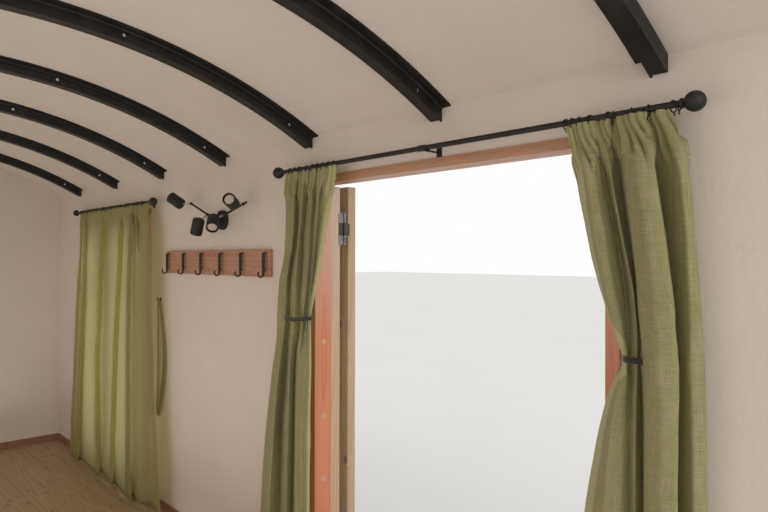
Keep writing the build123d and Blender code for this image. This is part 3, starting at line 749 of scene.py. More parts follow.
def framed_leaf(name, body, parts=1, gap=0.003):
    low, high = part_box(name)
    width = (high.x - low.x - gap * (parts - 1)) / parts
    middle = (low.y + high.y) / 2
    heap = Heap()
    for number in range(parts):
        x0 = low.x + number * (width + gap)
        x1 = x0 + width
        inner = (x0 + STILE, x1 - STILE)
        for a, b in ((x0, inner[0]), (inner[1], x1)):
            heap.box((a, low.y, low.z), (b, high.y, high.z), 0, 0.002)
        pane_low, pane_high = low.z + BOTTOM_RAIL, high.z - TOP_RAIL
        bar_low, bar_high = BAR_Z - BAR / 2, BAR_Z + BAR / 2
        rail_x = (inner[0] + 0.0003, inner[1] - 0.0003)
        for z0, z1 in ((low.z, pane_low), (pane_high, high.z), (bar_low, bar_high)):
            heap.box((rail_x[0], low.y + 0.0004, z0), (rail_x[1], high.y - 0.0004, z1), 1, 0.001)
        for z0, z1 in ((pane_low, bar_low), (bar_high, pane_high)):
            for face, way in ((low.y, 1), (high.y, -1)):
                bead(heap, inner, z0, z1, face, way, middle)
    heap.make(name + "_framed", leaf_z, leaf_x, body=body, smooth=False, stands_for=[name],
              slot="door_timber")


framed_leaf("main_door_left_leaf", "left_door")
framed_leaf("main_door_right_leaf", "right_door")
framed_leaf("far_door_leaf", "carriage", parts=2)


# filled screw holes down the doorway's reveals
def filled_screws():
    heap = Heap()
    low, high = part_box("main_door_sill")
    y = (Y_WALL + STOP_Y) / 2
    dab = [(0, 0.0130), (0.0002, 0.0125), (0.0004, 0.008), (0.0005, 0.001)]
    for x, way in ((high.x, -1), (low.x, 1)):
        for z in (0.40, 0.79, 1.085, 1.43, 1.90):
            heap.lathe((x, y, z), (way, 0, 0), dab, 24)
    heap.make("filled_screw_holes", filler, slot="redwood")


filled_screws()

# curtain poles, each with a turned ball at both ends, and their rings
ROD = 0.0095
RING_HOLE = 0.0135
RING_WIRE = 0.0019
RING_EYE = 0.0042


def pole(name, stands_for, ball, sleeve=None):
    """A rod with ball ends. sleeve is where its halves join. Without one, a spare hook hangs by the ball."""
    low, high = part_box(stands_for)
    z = (low.z + high.z) / 2
    b = ball / 2
    turned = [(b - b * math.cos(math.radians(a)), b * math.sin(math.radians(a))) for a in range(0, 151, 10)]
    neck = turned[-1][0]
    collar = ((0.004, 0.0118), (0.007, 0.0142), (0.011, 0.0142), (0.014, 0.0115), (0.016, ROD))
    turned += [(neck + along, radius) for along, radius in collar]
    heap = Heap()
    for x, way in ((low.x, 1), (high.x, -1)):
        heap.lathe((x, POLE_Y, z), (way, 0, 0), turned, 40)
    heap.lathe((low.x + ball * 0.8, POLE_Y, z), (1, 0, 0), [(0, ROD), (high.x - low.x - 1.6 * ball, ROD)], 28)
    if sleeve is not None:
        band = ROD + 0.0024
        outline = [(0, ROD), (0.0006, band), (0.0334, band), (0.034, ROD)]
        heap.lathe((sleeve - 0.017, POLE_Y, z), (1, 0, 0), outline, 28)
        screw = [(0, 0.0022), (0.003, 0.0022), (0.0035, 0.001)]
        heap.lathe((sleeve, POLE_Y + ROD + 0.001, z), (0, 1, 0), screw, 10)
    else:
        hang = ((0, 0.001), (0, -0.012), (0.002, -0.021))
        heap.pipe([(low.x + b + along, POLE_Y, z - b + up) for along, up in hang], 0.0024, 8, up=(0, 1, 0))
    sharpen(heap.make(name, iron, stands_for=[stands_for], slot="black_metal"), 40)
    return z


def rings(name, stands_for, places, z, seed, open_ones=()):
    """Wire rings on a pole, each with the eye that holds the curtain. open_ones hang turned to the room."""
    chance = random.Random(seed)
    heap = Heap()
    for x, turned in [(x, False) for x in places] + [(x, True) for x in open_ones]:
        lean, swing = chance.uniform(-0.4, 0.4), chance.uniform(-0.2, 0.2)
        if turned:
            lean = chance.uniform(0.55, 0.95)
        centre = Vector((x, POLE_Y, z + ROD - RING_HOLE))
        turn = Matrix.Rotation(lean, 3, "Z") @ Matrix.Rotation(swing, 3, "Y")
        hoop = [centre + turn @ Vector((0, a, b)) for a, b in circle(28, RING_HOLE + RING_WIRE)]
        heap.pipe(hoop, RING_WIRE, 8, closed=True, up=(turn @ Vector((1, 0, 0))))
        eye = centre + turn @ Vector((0, 0, -RING_HOLE - 2 * RING_WIRE - 0.0035))
        wire = [eye + Vector((0, a, b)) for a, b in circle(14, RING_EYE)]
        heap.pipe(wire, 0.0011, 6, closed=True, up=(1, 0, 0))
    heap.make(name, iron, stands_for=[stands_for], slot="black_metal")


def spread(x0, x1, count, seed):
    """Places between two ends, pushed unevenly along the pole."""
    chance = random.Random(seed)
    pitch = (x1 - x0) / (count - 1)
    return [x0 + pitch * (k + chance.uniform(-0.3, 0.3)) for k in range(count)]


main_pole_z = pole("main_pole_turned", "main_curtain_pole", ball=0.055, sleeve=-1.616)
far_pole_z = pole("far_pole_turned", "far_curtain_pole", ball=0.050)
main_ring_places = [-2.210, -2.231, -2.251, -2.290, -2.343, -2.358, -2.412, -2.458]
main_ring_places += spread(-1.095, -0.785, 9, 4)
rings("main_rings_round", "main_curtain_rings", main_ring_places, main_pole_z, 3, (-2.525, -2.543))
rings("far_rings_round", "far_curtain_rings", spread(0.905, 2.110, 17, 6), far_pole_z, 5)


# curtains
def seen_at(place, depth):
    """The X of a point at a depth in Y, from the place where its sight line meets the pole's plane."""
    return EYE.x + (place - EYE.x) * (depth - EYE.y) / (POLE_Y - EYE.y)


def follow(line, z):
    """The value at a height on a line of (height, value) points from the top down, without overshoot."""
    if z >= line[0][0]:
        return line[0][1]
    if z <= line[-1][0]:
        return line[-1][1]
    k = next(i for i in range(len(line) - 1) if line[i][0] >= z >= line[i + 1][0])
    rates = [(b[1] - a[1]) / (b[0] - a[0]) for a, b in zip(line, line[1:])]

    def slope(i):
        before, after = rates[max(i - 1, 0)], rates[min(i, len(rates) - 1)]
        return 0 if before * after <= 0 else 2 * before * after / (before + after)

    h = line[k + 1][0] - line[k][0]
    t = (z - line[k][0]) / h
    return ((2 * t ** 3 - 3 * t ** 2 + 1) * line[k][1] + (t ** 3 - 2 * t ** 2 + t) * h * slope(k)
            + (3 * t ** 2 - 2 * t ** 3) * line[k + 1][1] + (t ** 3 - t ** 2) * h * slope(k + 1))


def creased(corners, reach, flat_steps, turn_steps=6):
    """A line of flat panels with rounded creases where they meet, each cut in its own number of steps."""
    corners = [Vector(c) for c in corners]

    def beside(crease, corner):
        """Where a crease's rounding ends, on the way to the next corner."""
        length = max((corner - crease).length, 1e-6)
        return crease + (corner - crease) * min(reach, 0.45 * length) / length

    out = []
    leave = corners[0]
    for a, b, c, steps in zip(corners, corners[1:], corners[2:], flat_steps):
        arrive, onward = beside(b, a), beside(b, c)
        out += [leave.lerp(arrive, s / steps) for s in range(steps)]
        for s in range(turn_steps):
            t = s / turn_steps
            out.append(arrive * (1 - t) ** 2 + b * 2 * t * (1 - t) + onward * t ** 2)
        leave = onward
    steps = flat_steps[-1]
    out += [leave.lerp(corners[-1], s / steps) for s in range(steps)]
    return out + corners[-1:]


def smooth(t):
    t = min(1.0, max(0.0, t))
    return t * t * (3 - 2 * t)


def lay_flat(made, uvs):
    """Gives each point of a cloth its place on the flat cut, for the weave."""
    layer = made.data.uv_layers.new(name="cloth")
    for loop in made.data.loops:
        layer.data[loop.index].uv = uvs[loop.vertex_index]


# how deep the heading's tape is, and how far a pleat may stand out
TAPE = 0.085
PLEAT_DEPTH = 0.0135


class Pleats:
    """Uneven pencil pleats of a gathered heading, rounded between sharp creases of different lengths."""

    def __init__(self, count, seed):
        chance = random.Random(seed)
        widths = [chance.choice((0.55, 0.7, 0.85, 1.0, 1.6)) for _ in range(count)]
        total = sum(widths)
        self.edges = [0.0]
        for width in widths:
            self.edges.append(self.edges[-1] + width / total)
        self.width = [w / total for w in widths]
        self.end = [chance.uniform(0.105, 0.175) for _ in widths]
        self.lean = [chance.uniform(-0.5, 0.5) for _ in widths]

    def push(self, s, down, across):
        """How far the cloth stands out at a share s of its width, and a depth below the heading."""
        k = next((i for i in range(len(self.width)) if s < self.edges[i + 1]), len(self.width) - 1)
        t = min(1.0, max(0.0, (s - self.edges[k]) / self.width[k]))
        fade = 1 - smooth((down - TAPE) / (self.end[k] - TAPE))
        pinch = 0.70 + 0.45 * smooth(down / 0.09)
        size = min(PLEAT_DEPTH, 0.46 * self.width[k] * across)
        skew = t ** (1.0 + 0.35 * self.lean[k])
        calm = min(1.0, s / 0.05, (1 - s) / 0.05)
        return calm * size * pinch * fade * (2 * math.sin(math.pi * min(1.0, skew)) ** 0.55 - 1.2)


def draw_in(z, tie, above=0.24, below=0.34):
    """1 at the tie-back's height, dying out above and below it."""
    reach = above if z > tie else below
    return 1 - smooth(abs(z - tie) / reach)


# heights of the near curtains' ties and of every hem
TIE_Z = 1.545
HEM = 0.204
# how far a tie and a heading flatten the folds, and the depth that a tie draws them to
TIE_PULL = 0.58
HEADING_PULL = 0.74
WAIST_Y = POLE_Y - 0.012
# the heights over which the folds' depth changes at the tie, and over which the heading lets go of them
CHANGE = 0.30
LET_GO = 0.15


def fold_corners(folds, level, down, tie):
    """Where the folds stand at one level, seen from above."""
    corners = []
    for above, below, drawn, line in folds:
        depth = above
        if tie is not None:
            depth += (below - above) * smooth((tie - level + 0.05) / CHANGE)
            depth -= TIE_PULL * (depth - WAIST_Y) * drawn * draw_in(level, tie)
        held = 1 - smooth((down - 0.02) / LET_GO)
        depth -= HEADING_PULL * (depth - POLE_Y) * held
        corners.append((seen_at(follow(line, level), depth), depth, 0.0))
    return corners


# how far the cloth wanders from its folds, in long waves and in short ones
BILLOW = 0.0045
CRUMPLE = 0.0016
# how far the hem is turned up at the back, and how far it stands off the cloth
TURNED_UP = 0.035
HEM_OFF = 0.0022


def measured(above, below, drawn, *line):
    """One fold's row of a table below, in metres, with its line as (height, place) pairs."""
    metres = [value / 1000 for value in line]
    pairs = list(zip(metres[0:-1:2], metres[1:-1:2]))
    return above / 1000, below / 1000, drawn, pairs + [(HEM, metres[-1])]


def heights(top, hem, tape=0.21, fine=0.0075, coarse=0.0155):
    """Levels of the cloth's rows, closer together in the heading."""
    out = [top + 0.012]
    z = top
    while z > hem + coarse:
        out.append(z)
        z -= fine if top - z < tape else coarse
    out.append(hem)
    return out


def panel_cuts(folds, top, tie, spacing):
    """How many steps each panel between two folds is cut in, from its widest place."""
    widest = [0.0] * (len(folds) - 1)
    for level in (top, 1.85, 1.30, 0.60):
        spots = [Vector(c) for c in fold_corners(folds, level, top - level, tie)]
        widest = [max(w, (b - a).length) for w, a, b in zip(widest, spots, spots[1:])]
    return [max(4, round(w / spacing)) for w in widest]


def stand_out(s, z, down, pleated, tie, seed):
    """How far the cloth stands out from its folds, with its pleats, the tie's puckers and its own waves."""
    push = pleated
    if tie is not None:
        for size, dies_out, waves, start in ((0.0030, 0.06, 13, 0.6 * seed), (0.0020, 0.2, 6, 2.0)):
            push += size * math.exp(-abs(z - tie) / dies_out) * math.sin(2 * math.pi * waves * s + start)
    settle = min(1.0, max(0.0, down) / 0.3)
    push += BILLOW * settle * noise.noise(Vector((s * 9 + seed, z * 1.6, seed)))
    return push + CRUMPLE * settle * noise.noise(Vector((s * 22 - z * 5 + seed, z * 8, seed)))


def curtain(name, stands_for, table, flat, cloth, pleats, tie=None, seed=1, hem_wave=0.0,
            reach=0.012, spacing=0.0042):
    """One sheet of cloth, hung from its rings in folds that are given as a table.

    hem_wave is how far its hem rises and falls. reach is how far each crease is rounded.
    """
    if tie is None:
        table = [(depth, depth, 0, *line) for depth, *line in table]
    folds = [measured(*row) for row in table]
    low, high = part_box(stands_for)
    top, hem = high.z, low.z + 0.002
    gather = Pleats(pleats, seed)
    cuts = panel_cuts(folds, top, tie, spacing)
    grid, uvs = [], []
    for z in heights(top, hem):
        down = top - z
        line = creased(fold_corners(folds, min(z, top), down, tie), reach, cuts)
        run = [0.0]
        for a, b in zip(line, line[1:]):
            run.append(run[-1] + (b - a).length)
        row = []
        for i, at in enumerate(line):
            s = run[i] / run[-1]
            way = heading(line, i)
            side = Vector((-way.y, way.x, 0))
            if side.y < 0:
                side = -side
            push = stand_out(s, z, down, gather.push(s, max(0.0, down), run[-1]), tie, seed)
            lift = hem_wave * noise.noise(Vector((s * 6, seed, 0))) * max(0.0, 1 - (z - hem) / 0.5)
            row.append((at.x + side.x * push, max(at.y + side.y * push, Y_WALL + 0.004), z + lift))
            uvs.append((s * flat[0], z - hem))
        grid.append(row)
    # turned hem, up the back of the cloth
    last = grid[-1]
    for up, drop in ((0.0, 0.002), (TURNED_UP, 0.0)):
        grid.append([(x, max(y - HEM_OFF, Y_WALL + 0.002), z + up - drop) for x, y, z in last])
        uvs += [(at / run[-1] * flat[0], -0.01 - up) for at in run]
    across = len(last)
    faces = []
    for r in range(len(grid) - 1):
        for i in range(across - 1):
            faces.append((r * across + i, r * across + i + 1, (r + 1) * across + i + 1, (r + 1) * across + i))
    made = mesh_object(name, [v for row in grid for v in row], faces, [cloth])
    lay_flat(made, uvs)
    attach(made, "carriage")
    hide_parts(stands_for)


# Each row is one fold, measured in millimetres: its depth above the tie and below it, the share that the
# tie draws in, then heights and places on the pole's plane in turn, and last its place at the hem. A curtain
# with no tie has one depth a fold.

# the right curtain's folds, from its edge by the doorway to its edge by the wall
right_folds = [
    (-1214, -1216, 0.3, 2215, -2240, 2120, -2268, 1814, -2345, 1600, -2412, 1485, -2412, 1246, -2360, -2270),
    (-1178, -1180, 0.7, 2215, -2205, 2120, -2230, 1994, -2254, 1814, -2293, 1664, -2340, 1556, -2386,
     1531, -2386, 1485, -2360, 1419, -2335, 1246, -2296, 1074, -2267, 620, -2222, -2196),
    (-1098, -1098, 0.9, 2215, -2252, 2129, -2268, 1992, -2281, 1842, -2306, 1695, -2342, 1579, -2372,
     1545, -2390, 1470, -2372, 1326, -2347, 1165, -2329, 620, -2285, -2262),
    (-1106, -1118, 0.9, 2215, -2285, 2100, -2295, 1920, -2325, 1760, -2352, 1600, -2388, 1545, -2400,
     1400, -2392, 1100, -2382, 620, -2355, -2340),
    (-1188, -1160, 0.7, 2215, -2312, 2130, -2321, 1988, -2347, 1874, -2372, 1730, -2394, 1582, -2406,
     1400, -2405, 1100, -2402, 620, -2385, -2375),
    (-1118, -1122, 0.9, 2215, -2335, 2100, -2345, 1987, -2364, 1850, -2392, 1717, -2418, 1571, -2428,
     1400, -2424, 1100, -2420, 620, -2410, -2405),
    (-1218, -1200, 0.4, 2215, -2352, 2148, -2361, 1995, -2384, 1835, -2411, 1770, -2421, 1571, -2436,
     1400, -2441, 1100, -2444, -2448),
    (-1108, -1100, 0, 2215, -2382, 2114, -2388, 1909, -2408, 1761, -2424, 1630, -2439, 1545, -2447,
     1378, -2451, 1128, -2450, -2462),
    (-1078, -1074, 0, 2215, -2418, 2100, -2424, 1909, -2448, 1700, -2472, 1500, -2488, 1100, -2492, -2508),
    (-1094, -1088, 0, 2215, -2452, 2117, -2467, 1938, -2495, 1778, -2517, 1665, -2530, 1485, -2536,
     1154, -2538, -2560),
    (-1224, -1222, 0, 2215, -2458, 2117, -2470, 1938, -2494, 1778, -2515, 1665, -2527, 1485, -2533,
     1154, -2535, -2556),
    (-1134, -1130, 0, 2215, -2487, 2100, -2535, 1835, -2560, 1639, -2568, 1162, -2576, -2600),
    (-1158, -1156, 0, 2221, -2508, 2162, -2541, 2093, -2559, 2017, -2570, 1820, -2586, 1656, -2599,
     1437, -2607, 1175, -2609, -2634),
    (-1222, -1220, 0, 2221, -2510, 2162, -2538, 2093, -2552, 1820, -2577, 1437, -2598, -2624),
]
curtain("curtain_right_cloth", "curtain_right", right_folds, (1.17, 2.09), right_cloth, 19,
        TIE_Z, seed=2)

# the left curtain's folds, from its edge by the doorway to its edge by the wall
left_folds = [
    (-1185, -1190, 0.3, 2200, -1115, 2096, -1092, 1937, -1046, 1785, -1000, 1640, -958, 1553, -930,
     1029, -934, -926),
    (-1148, -1150, 0.6, 2200, -1119, 2162, -1112, 2096, -1099, 2020, -1074, 1937, -1053, 1854, -1032,
     1785, -1007, 1705, -985, 1640, -963, 1591, -946, 1553, -937, 1373, -941, 1148, -936, 1029, -941,
     682, -932, -934),
    (-1118, -1112, 0.8, 2200, -1086, 2096, -1062, 1970, -1032, 1830, -999, 1700, -965, 1600, -935,
     1545, -927, 1400, -926, 1100, -918, -910),
    (-1160, -1122, 0.6, 2200, -1040, 2103, -1016, 2013, -1002, 1934, -985, 1800, -960, 1650, -932,
     1545, -915, 1400, -908, 1100, -896, -884),
    (-1126, -1108, 0.8, 2200, -1012, 2100, -996, 1970, -982, 1855, -965, 1700, -944, 1545, -905, 1400, -892,
     1100, -872, 600, -868, -860),
    (-1184, -1124, 0.6, 2200, -990, 2068, -971, 1962, -958, 1855, -949, 1747, -936, 1666, -926, 1545, -895,
     1400, -872, 1100, -852, 600, -846, -838),
    (-1118, -1114, 0.8, 2200, -960, 2100, -944, 1970, -925, 1800, -912, 1690, -898, 1545, -878, 1400, -848,
     1240, -832, 1100, -828, 600, -822, -815),
    (-1190, -1190, 0.5, 2200, -930, 2073, -905, 1965, -887, 1801, -873, 1691, -864, 1558, -857, 1486, -849,
     1383, -824, 1240, -814, 1121, -811, 763, -804, -796),
    (-1120, -1104, 0.8, 2200, -895, 2100, -876, 1970, -858, 1800, -832, 1690, -816, 1558, -808, 1400, -784,
     1200, -770, 993, -763, 627, -744, -728),
    (-1186, -1204, 0.4, 2200, -862, 2077, -836, 1967, -831, 1878, -818, 1800, -783, 1690, -768, 1545, -760,
     1400, -748, 1200, -735, 1058, -704, 738, -701, -684),
    (-1126, -1122, 0.5, 2200, -822, 2100, -808, 1970, -800, 1800, -766, 1690, -738, 1545, -730, 1400, -706,
     1200, -668, 1000, -645, 600, -596, -556),
    (-1150, -1148, 0.2, 2200, -800, 2100, -788, 1970, -780, 1800, -748, 1690, -722, 1545, -716, 1400, -694,
     1200, -640, 1000, -612, 600, -556, -520),
    (-1146, -1156, 0.2, 2200, -745, 2157, -741, 2083, -752, 1970, -746, 1857, -742, 1788, -720, 1697, -695,
     1570, -681, 1455, -679, 1353, -661, 1213, -628, 1021, -600, 826, -566, 565, -536, -508),
    (-1205, -1212, 0, 2200, -738, 2083, -742, 1857, -732, 1697, -686, 1455, -670, 1213, -620, 826, -558,
     -500),
]
curtain("curtain_left_cloth", "curtain_left", left_folds, (1.17, 2.09), left_cloth, 19,
        TIE_Z, seed=5)

# the far curtain hangs closed in broad folds, from its edge by the end wall to its edge by the coat rack
far_folds = [
    (-1180, 2160, 2150, 1904, 2160, 1643, 2205, 1100, 2285, 600, 2340, 2380),
    (-1146, 2160, 2128, 1904, 2140, 1646, 2178, 1075, 2262, 657, 2318, 2352),
    (-1160, 2160, 2095, 1904, 2118, 1646, 2145, 1075, 2232, 657, 2280, 2305),
    (-1142, 2160, 2010, 1904, 2030, 1565, 2048, 1050, 2120, 600, 2158, 2180),
    (-1176, 2160, 1965, 1944, 1980, 1565, 2003, 1051, 2070, 700, 2103, 2120),
    (-1146, 2160, 1850, 1900, 1866, 1500, 1902, 1080, 1945, 700, 1960, 1945),
    (-1134, 2160, 1668, 1978, 1676, 1737, 1708, 1493, 1741, 1083, 1786, 795, 1770, 540, 1735, 1715),
    (-1186, 2160, 1590, 1900, 1600, 1662, 1622, 1341, 1648, 1100, 1668, 700, 1672, 1650),
    (-1160, 2160, 1525, 1900, 1535, 1600, 1552, 1300, 1575, 1000, 1590, 600, 1598, 1585),
    (-1132, 2160, 1300, 2008, 1310, 1818, 1328, 1589, 1357, 1357, 1390, 1126, 1406, 768, 1430, 1430),
    (-1174, 2160, 1240, 1895, 1252, 1593, 1280, 1366, 1308, 1136, 1336, 781, 1368, 1395),
    (-1142, 2160, 1165, 1900, 1172, 1593, 1195, 1200, 1215, 780, 1240, 1250),
    (-1126, 2160, 1065, 2015, 1071, 1818, 1098, 1598, 1116, 1157, 1123, 822, 1116, 451, 1112, 1085),
    (-1180, 2160, 1050, 1818, 1085, 1598, 1104, 1157, 1110, 451, 1100, 1075),
    (-1148, 2160, 1010, 1900, 1020, 1600, 1015, 1200, 1000, 800, 985, 960),
    (-1176, 2160, 990, 1961, 978, 1747, 915, 1537, 872, 1189, 842, 874, 806, 780),
    (-1140, 2160, 822, 2097, 811, 1749, 783, 1473, 766, 1201, 732, 960, 714, 623, 672, 625),
    (-1176, 2160, 836, 2097, 825, 1749, 797, 1473, 780, 1201, 746, 960, 728, 623, 686, 639),
]
curtain("far_curtain_cloth", "far_curtain", far_folds, (2.34, 2.05), far_cloth, 44, seed=9,
        hem_wave=0.045, reach=0.020, spacing=0.0065)


FAR_HOOK_X = 0.795


def wall_hook(heap, x, z, stem):
    """A turned plate with a stem, standing out from the wall."""
    heap.lathe((x, Y_WALL, z), (0, 1, 0), stem, 20, 1)


# tie-backs: a black strap round each curtain's leading folds, its end tucked in, its other end on a wall hook
def tie_backs(half_width=0.0085, half_thick=0.0014):
    """Routes are (place on the pole's plane, depth, height), from the hook round the front of the folds."""
    heap = Heap()
    right = [(-2.56, -1.231, 1.548), (-2.44, -1.231, 1.547), (-2.402, -1.226, 1.546),
             (-2.384, -1.205, 1.546), (-2.386, -1.175, 1.546), (-2.388, -1.148, 1.546),
             (-2.396, -1.132, 1.545), (-2.42, -1.129, 1.545), (-2.444, -1.132, 1.544),
             (-2.456, -1.145, 1.543), (-2.47, -1.165, 1.543)]
    left = [(-0.775, -1.231, 1.552), (-0.85, -1.231, 1.553), (-0.915, -1.224, 1.555), (-0.938, -1.205, 1.556),
            (-0.942, -1.18, 1.556), (-0.943, -1.155, 1.556), (-0.936, -1.139, 1.555), (-0.9, -1.134, 1.553),
            (-0.85, -1.133, 1.545), (-0.8, -1.133, 1.541), (-0.762, -1.134, 1.543), (-0.737, -1.138, 1.545),
            (-0.73, -1.158, 1.546)]
    stud = [(0, 0.011), (0.002, 0.011), (0.003, 0.004), (0.010, 0.0035), (0.0105, 0.001)]
    for route in (right, left):
        placed = [(seen_at(place, depth), depth, z) for place, depth, z in route]
        heap.pipe(curve_through(placed, 12), strap=(half_thick, half_width))
        wall_hook(heap, placed[0][0], placed[0][2], stud)
    far_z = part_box("far_tie_back")[1].z
    wall_hook(heap, FAR_HOOK_X, far_z - 0.006, [(0, 0.010), (0.002, 0.010), (0.003, 0.0028), (0.020, 0.0026)])
    curl = 0.007
    turns = [math.pi * i / 10 for i in range(9)]
    y, z = Y_WALL + 0.018, far_z + 0.001
    hook = [(FAR_HOOK_X, y + curl * math.sin(t), z - curl * math.cos(t)) for t in turns]
    heap.pipe(hook, 0.0026, 10, 1, up=(1, 0, 0))
    heap.make("strap_tie_backs", strap_black, iron, stands_for=["tie_backs"], slot="black_band")


tie_backs()


# the far curtain's own band hangs loose from its hook, one strand straight down and one bowed out
def far_band(half_thick=0.0022):
    """Strands are (X, height, half width) from the hook down."""
    heap = Heap()
    low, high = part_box("far_tie_back")
    y = (low.y + high.y) / 2
    top = high.z - 0.004
    straight = [(0.798, top, 0.008), (0.803, 1.48, 0.008), (0.801, 1.20, 0.008), (0.801, 1.00, 0.009),
                (0.814, 0.86, 0.013), (0.797, 0.790, 0.016)]
    bowed = [(0.792, top, 0.008), (0.757, 1.47, 0.012), (0.712, 1.25, 0.019), (0.712, 1.08, 0.023),
             (0.745, 0.93, 0.022), (0.780, 0.82, 0.017), (0.795, 0.790, 0.014)]
    ring = ((-1, -0.4), (-0.8, -1), (0.8, -1), (1, -0.4), (1, 0.4), (0.8, 1), (-0.8, 1), (-1, 0.4))
    for strand in (straight, bowed):
        line = curve_through([(x, y, z) for x, z, _ in strand], 10)
        wide = curve_through([(half, 0, 0) for _, _, half in strand], 10)
        rows = []
        for k, (at, half) in enumerate(zip(line, wide)):
            side = heading(line, k).cross(Vector((0, 1, 0))).normalized()
            rows.append([at + side * half.x * a + Vector((0, half_thick * b, 0)) for a, b in ring])
        heap.loft(rows)
    made = heap.make("far_band_loose", far_cloth, stands_for=["far_tie_back"], slot="green_linen")
    lay_flat(made, [(v.co.x, v.co.z) for v in made.data.vertices])


far_band()


# coat hooks of bent flat iron, and the board's screws
def coat_hooks(count=6, thick=0.0034, wide=0.0105, radius=0.0150, stand_off=0.014, inset=0.007):
    """Each hook is a flat bar, bent to the board at its top, held off it on a foot and ending in a curl."""
    heap = Heap()
    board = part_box("coat_rack_board")[1]
    low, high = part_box("coat_hooks")
    pitch = (high.x - low.x - 2 * inset) / (count - 1)
    strap_y = board.y + stand_off
    strap_low = low.z + radius + 0.003
    top = high.z - 0.003
    tip_y = strap_y + 2 * radius
    # (y, z, half width) down the strap, round the curl and up to the tip
    points = [(board.y + 0.001, top, wide), (strap_y - 0.005, top, wide),
              (strap_y - 0.0012, top - 0.0013, wide), (strap_y, top - 0.006, wide),
              (strap_y, (top + strap_low) / 2, wide * 0.95), (strap_y, strap_low + 0.010, wide * 0.85)]
    for i in range(15):
        t = math.pi * i / 14
        narrow = max(0.0036, wide * (0.70 - 0.06 * i))
        points.append((strap_y + radius * (1 - math.cos(t)), strap_low - radius * math.sin(t), narrow))
    points += [(tip_y, strap_low + 0.006, 0.0036), (tip_y - 0.0006, strap_low + 0.012, 0.0030)]
    bar = [(thick, half) for _, _, half in points]
    for k in range(count):
        x = high.x - inset - k * pitch
        heap.pipe([(x, y, z) for y, z, _ in points], strap=bar, up=(1, 0, 0))
        heap.box((x - 0.004, board.y, strap_low + 0.018), (x + 0.004, strap_y, strap_low + 0.024), edge=0.001)
    heap.make("bent_iron_hooks", iron, stands_for=["coat_hooks"], slot="black_metal", smooth=False)


def rack_screws():
    heap = Heap()
    low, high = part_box("coat_rack_board")
    outline = [(0, 0.0042), (0.0012, 0.0042), (0.0022, 0.0030), (0.0024, 0.0004)]
    for x in (0.554, 0.106, -0.346):
        for z in (high.z - 0.031, low.z + 0.023):
            heap.lathe((x, high.y - 0.001, z), (0, 1, 0), outline, 18)
    heap.make("rack_screws", screw_metal, slot="black_metal")


coat_hooks()
rack_screws()


# spot light: a drum on the wall, two arms and four heads on pivots
def spot_light():
    lamp, pivots, lenses = Heap(), Heap(), Heap()
    root = Vector((-0.028, Y_WALL + 0.050, 2.035))
    head_y = Y_WALL + 0.124
    arm_radius = 0.0058
    can_length = 0.088
    lens_seat = 0.076
    drum = [(0, 0.055), (0.017, 0.055), (0.0205, 0.0535), (0.022, 0.050), (0.022, 0.016)]
    lamp.lathe((root.x, Y_WALL, root.z), (0, 1, 0), drum, 56)
    hub = [(0, 0.014), (0.034, 0.014), (0.038, 0.010)]
    lamp.lathe((root.x, Y_WALL + 0.02, root.z), (0, 1, 0), hub, 28)
    tips = (root + Vector((0.304, 0, 0.113)), root + Vector((-0.326, 0, 0.078)))
    for tip in tips:
        length = (tip - root).length
        rod = [(0, arm_radius), (length - 0.002, arm_radius), (length, 0.004)]
        lamp.lathe(root, tip - root, rod, 20)
    # each head's place from the drum, its aim, its arm and how far out along it the head is
    heads = (
        ((0.333, 0.122), (0.78, 0.395, 0.527), 0, 0.95),
        ((0.068, -0.038), (0.48, -0.05, -0.876), 0, 0.30),
        ((-0.107, -0.024), (-0.6, 0.42, -0.68), 1, 0.30),
        ((-0.300, 0.077), (-0.612, 0.677, 0.219), 1, 0.90),
    )
    can = [(0, 0.027), (0.003, 0.0315), (0.008, 0.033), (can_length - 0.0005, 0.033), (can_length, 0.0325),
           (can_length, 0.0312), (lens_seat, 0.0310), (lens_seat, 0.0)]
    swivel = [(0, 0.006), (0.002, 0.0085), (0.012, 0.0085), (0.014, 0.006)]
    lens = [(0, 0.026), (0.0045, 0.0255), (0.0065, 0.023), (0.0072, 0.016), (0.0075, 0.001)]
    for (dx, dz), axis, arm, share in heads:
        axis = Vector(axis).normalized()
        centre = Vector((root.x + dx, head_y, root.z + dz))
        back = centre - axis * (can_length / 2)
        start = root.lerp(tips[arm], share)
        joint = centre - axis * 0.030
        reach = joint - start
        lamp.lathe(start - reach.normalized() * 0.007, reach, swivel, 20)
        pivots.lathe(start, reach, [(0, 0.0045), (reach.length, 0.0045)], 16)
        lamp.lathe(back, axis, can, 48, caps=False)
        lamp.lathe(back - axis * 0.0005, axis, [(0, 0.0), (0.0006, 0.0272)], 48, caps=False)
        lenses.lathe(back + axis * (lens_seat + 0.0002), axis, lens, 40)
    sharpen(lamp.make("spot_light_round", lamp_black, stands_for=["spot_light"], slot="black_metal"), 35)
    pivots.make("spot_light_pivots", zinc, slot="bright_steel")
    sharpen(lenses.make("spot_light_lenses", bulb, stands_for=["spot_light_bulbs"], slot="lamp_glass"), 50)


spot_light()


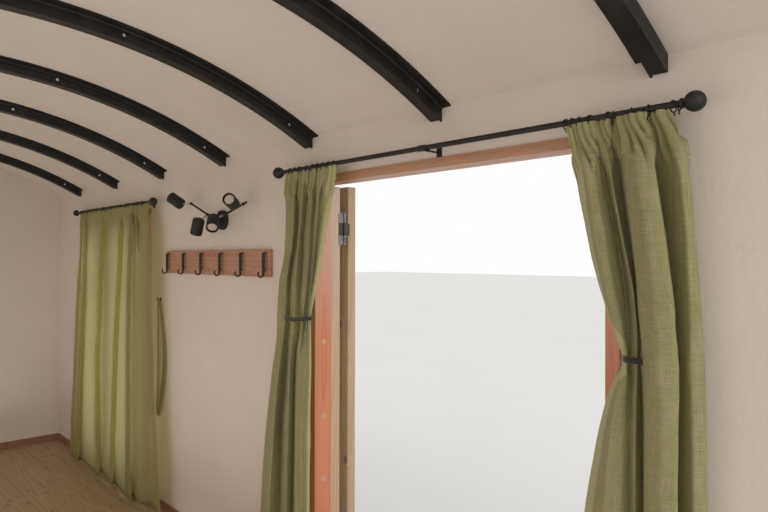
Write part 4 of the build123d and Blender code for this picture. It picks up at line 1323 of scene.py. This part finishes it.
# camera
def stand_camera():
    camera = put_in_scene("camera", bpy.data.cameras.new("camera"))
    bpy.context.scene.camera = camera
    forward = LOOK.normalized()
    level = forward.cross(Vector((0, 0, 1))).normalized()
    above = level.cross(forward)
    right = level * math.cos(ROLL) + above * math.sin(ROLL)
    up = above * math.cos(ROLL) - level * math.sin(ROLL)
    turn = Matrix((right, up, -forward)).transposed().to_4x4()
    camera.matrix_world = Matrix.Translation(EYE) @ turn
    camera.data.sensor_width = 36.0
    camera.data.lens = LENS
    camera.data.clip_start = 0.02
    camera.data.clip_end = 200


stand_camera()


# stage: a plain pale floor, a white background and soft lamps
def stage(reach=60):
    p = Paint("stage_floor", (0.80, 0.80, 0.79), 0.9)
    p.colour(p.ramp(p.noise(p.place(), 0.6, 2), (0.3, (0.79, 0.79, 0.78)), (0.7, (0.81, 0.81, 0.80))))
    corners = [(-reach, -reach), (reach, -reach), (reach, reach), (-reach, reach)]
    verts = [(x, y, -0.0005) for x, y in corners]
    piece("stage_ground", verts, [(0, 1, 2, 3)], [p], body=None, smooth=False)


def studio_world(strength):
    """White to the camera and in reflections, and a soft light on everything else."""
    world = bpy.data.worlds.new("studio")
    bpy.context.scene.world = world
    world.use_nodes = True
    net = NodeTree(world.node_tree)
    net.tree.nodes.clear()
    seen = net.add("Background", Color=(1, 1, 1))
    lit = net.add("Background", Color=(1, 0.99, 0.975), Strength=strength)
    path = net.add("LightPath").outputs
    either = path["Is Camera Ray"]
    for other in ("Is Glossy Ray", "Is Transmission Ray"):
        either = net.math("MAXIMUM", either, path[other])
    net.link(net.blend(either, lit, seen), net.add("OutputWorld").inputs["Surface"])


def soft_lamp(name, place, towards, size, power, colour=(1, 0.97, 0.94)):
    light = bpy.data.lights.new(name, "AREA")
    light.shape = "RECTANGLE"
    light.size, light.size_y = size
    light.energy = power
    light.color = colour
    made = put_in_scene(name, light)
    made.location = place
    made.rotation_euler = (Vector(towards) - Vector(place)).to_track_quat("-Z", "Y").to_euler()
    made.visible_camera = False


stage()
studio_world(0.95)
soft_lamp("room_light", (0.2, 1.12, 1.45), (0.2, -1.2, 1.45), (5.4, 1.5), 16)
soft_lamp("ceiling_light", (0.0, 0.15, 0.45), (0.0, 0.15, 2.4), (5.6, 1.8), 16)
soft_lamp("near_end_light", (-11.0, 2.0, 4.2), (0.0, -0.3, 1.4), (7.0, 5.0), 240)

bpy.context.scene.view_settings.view_transform = "Standard"
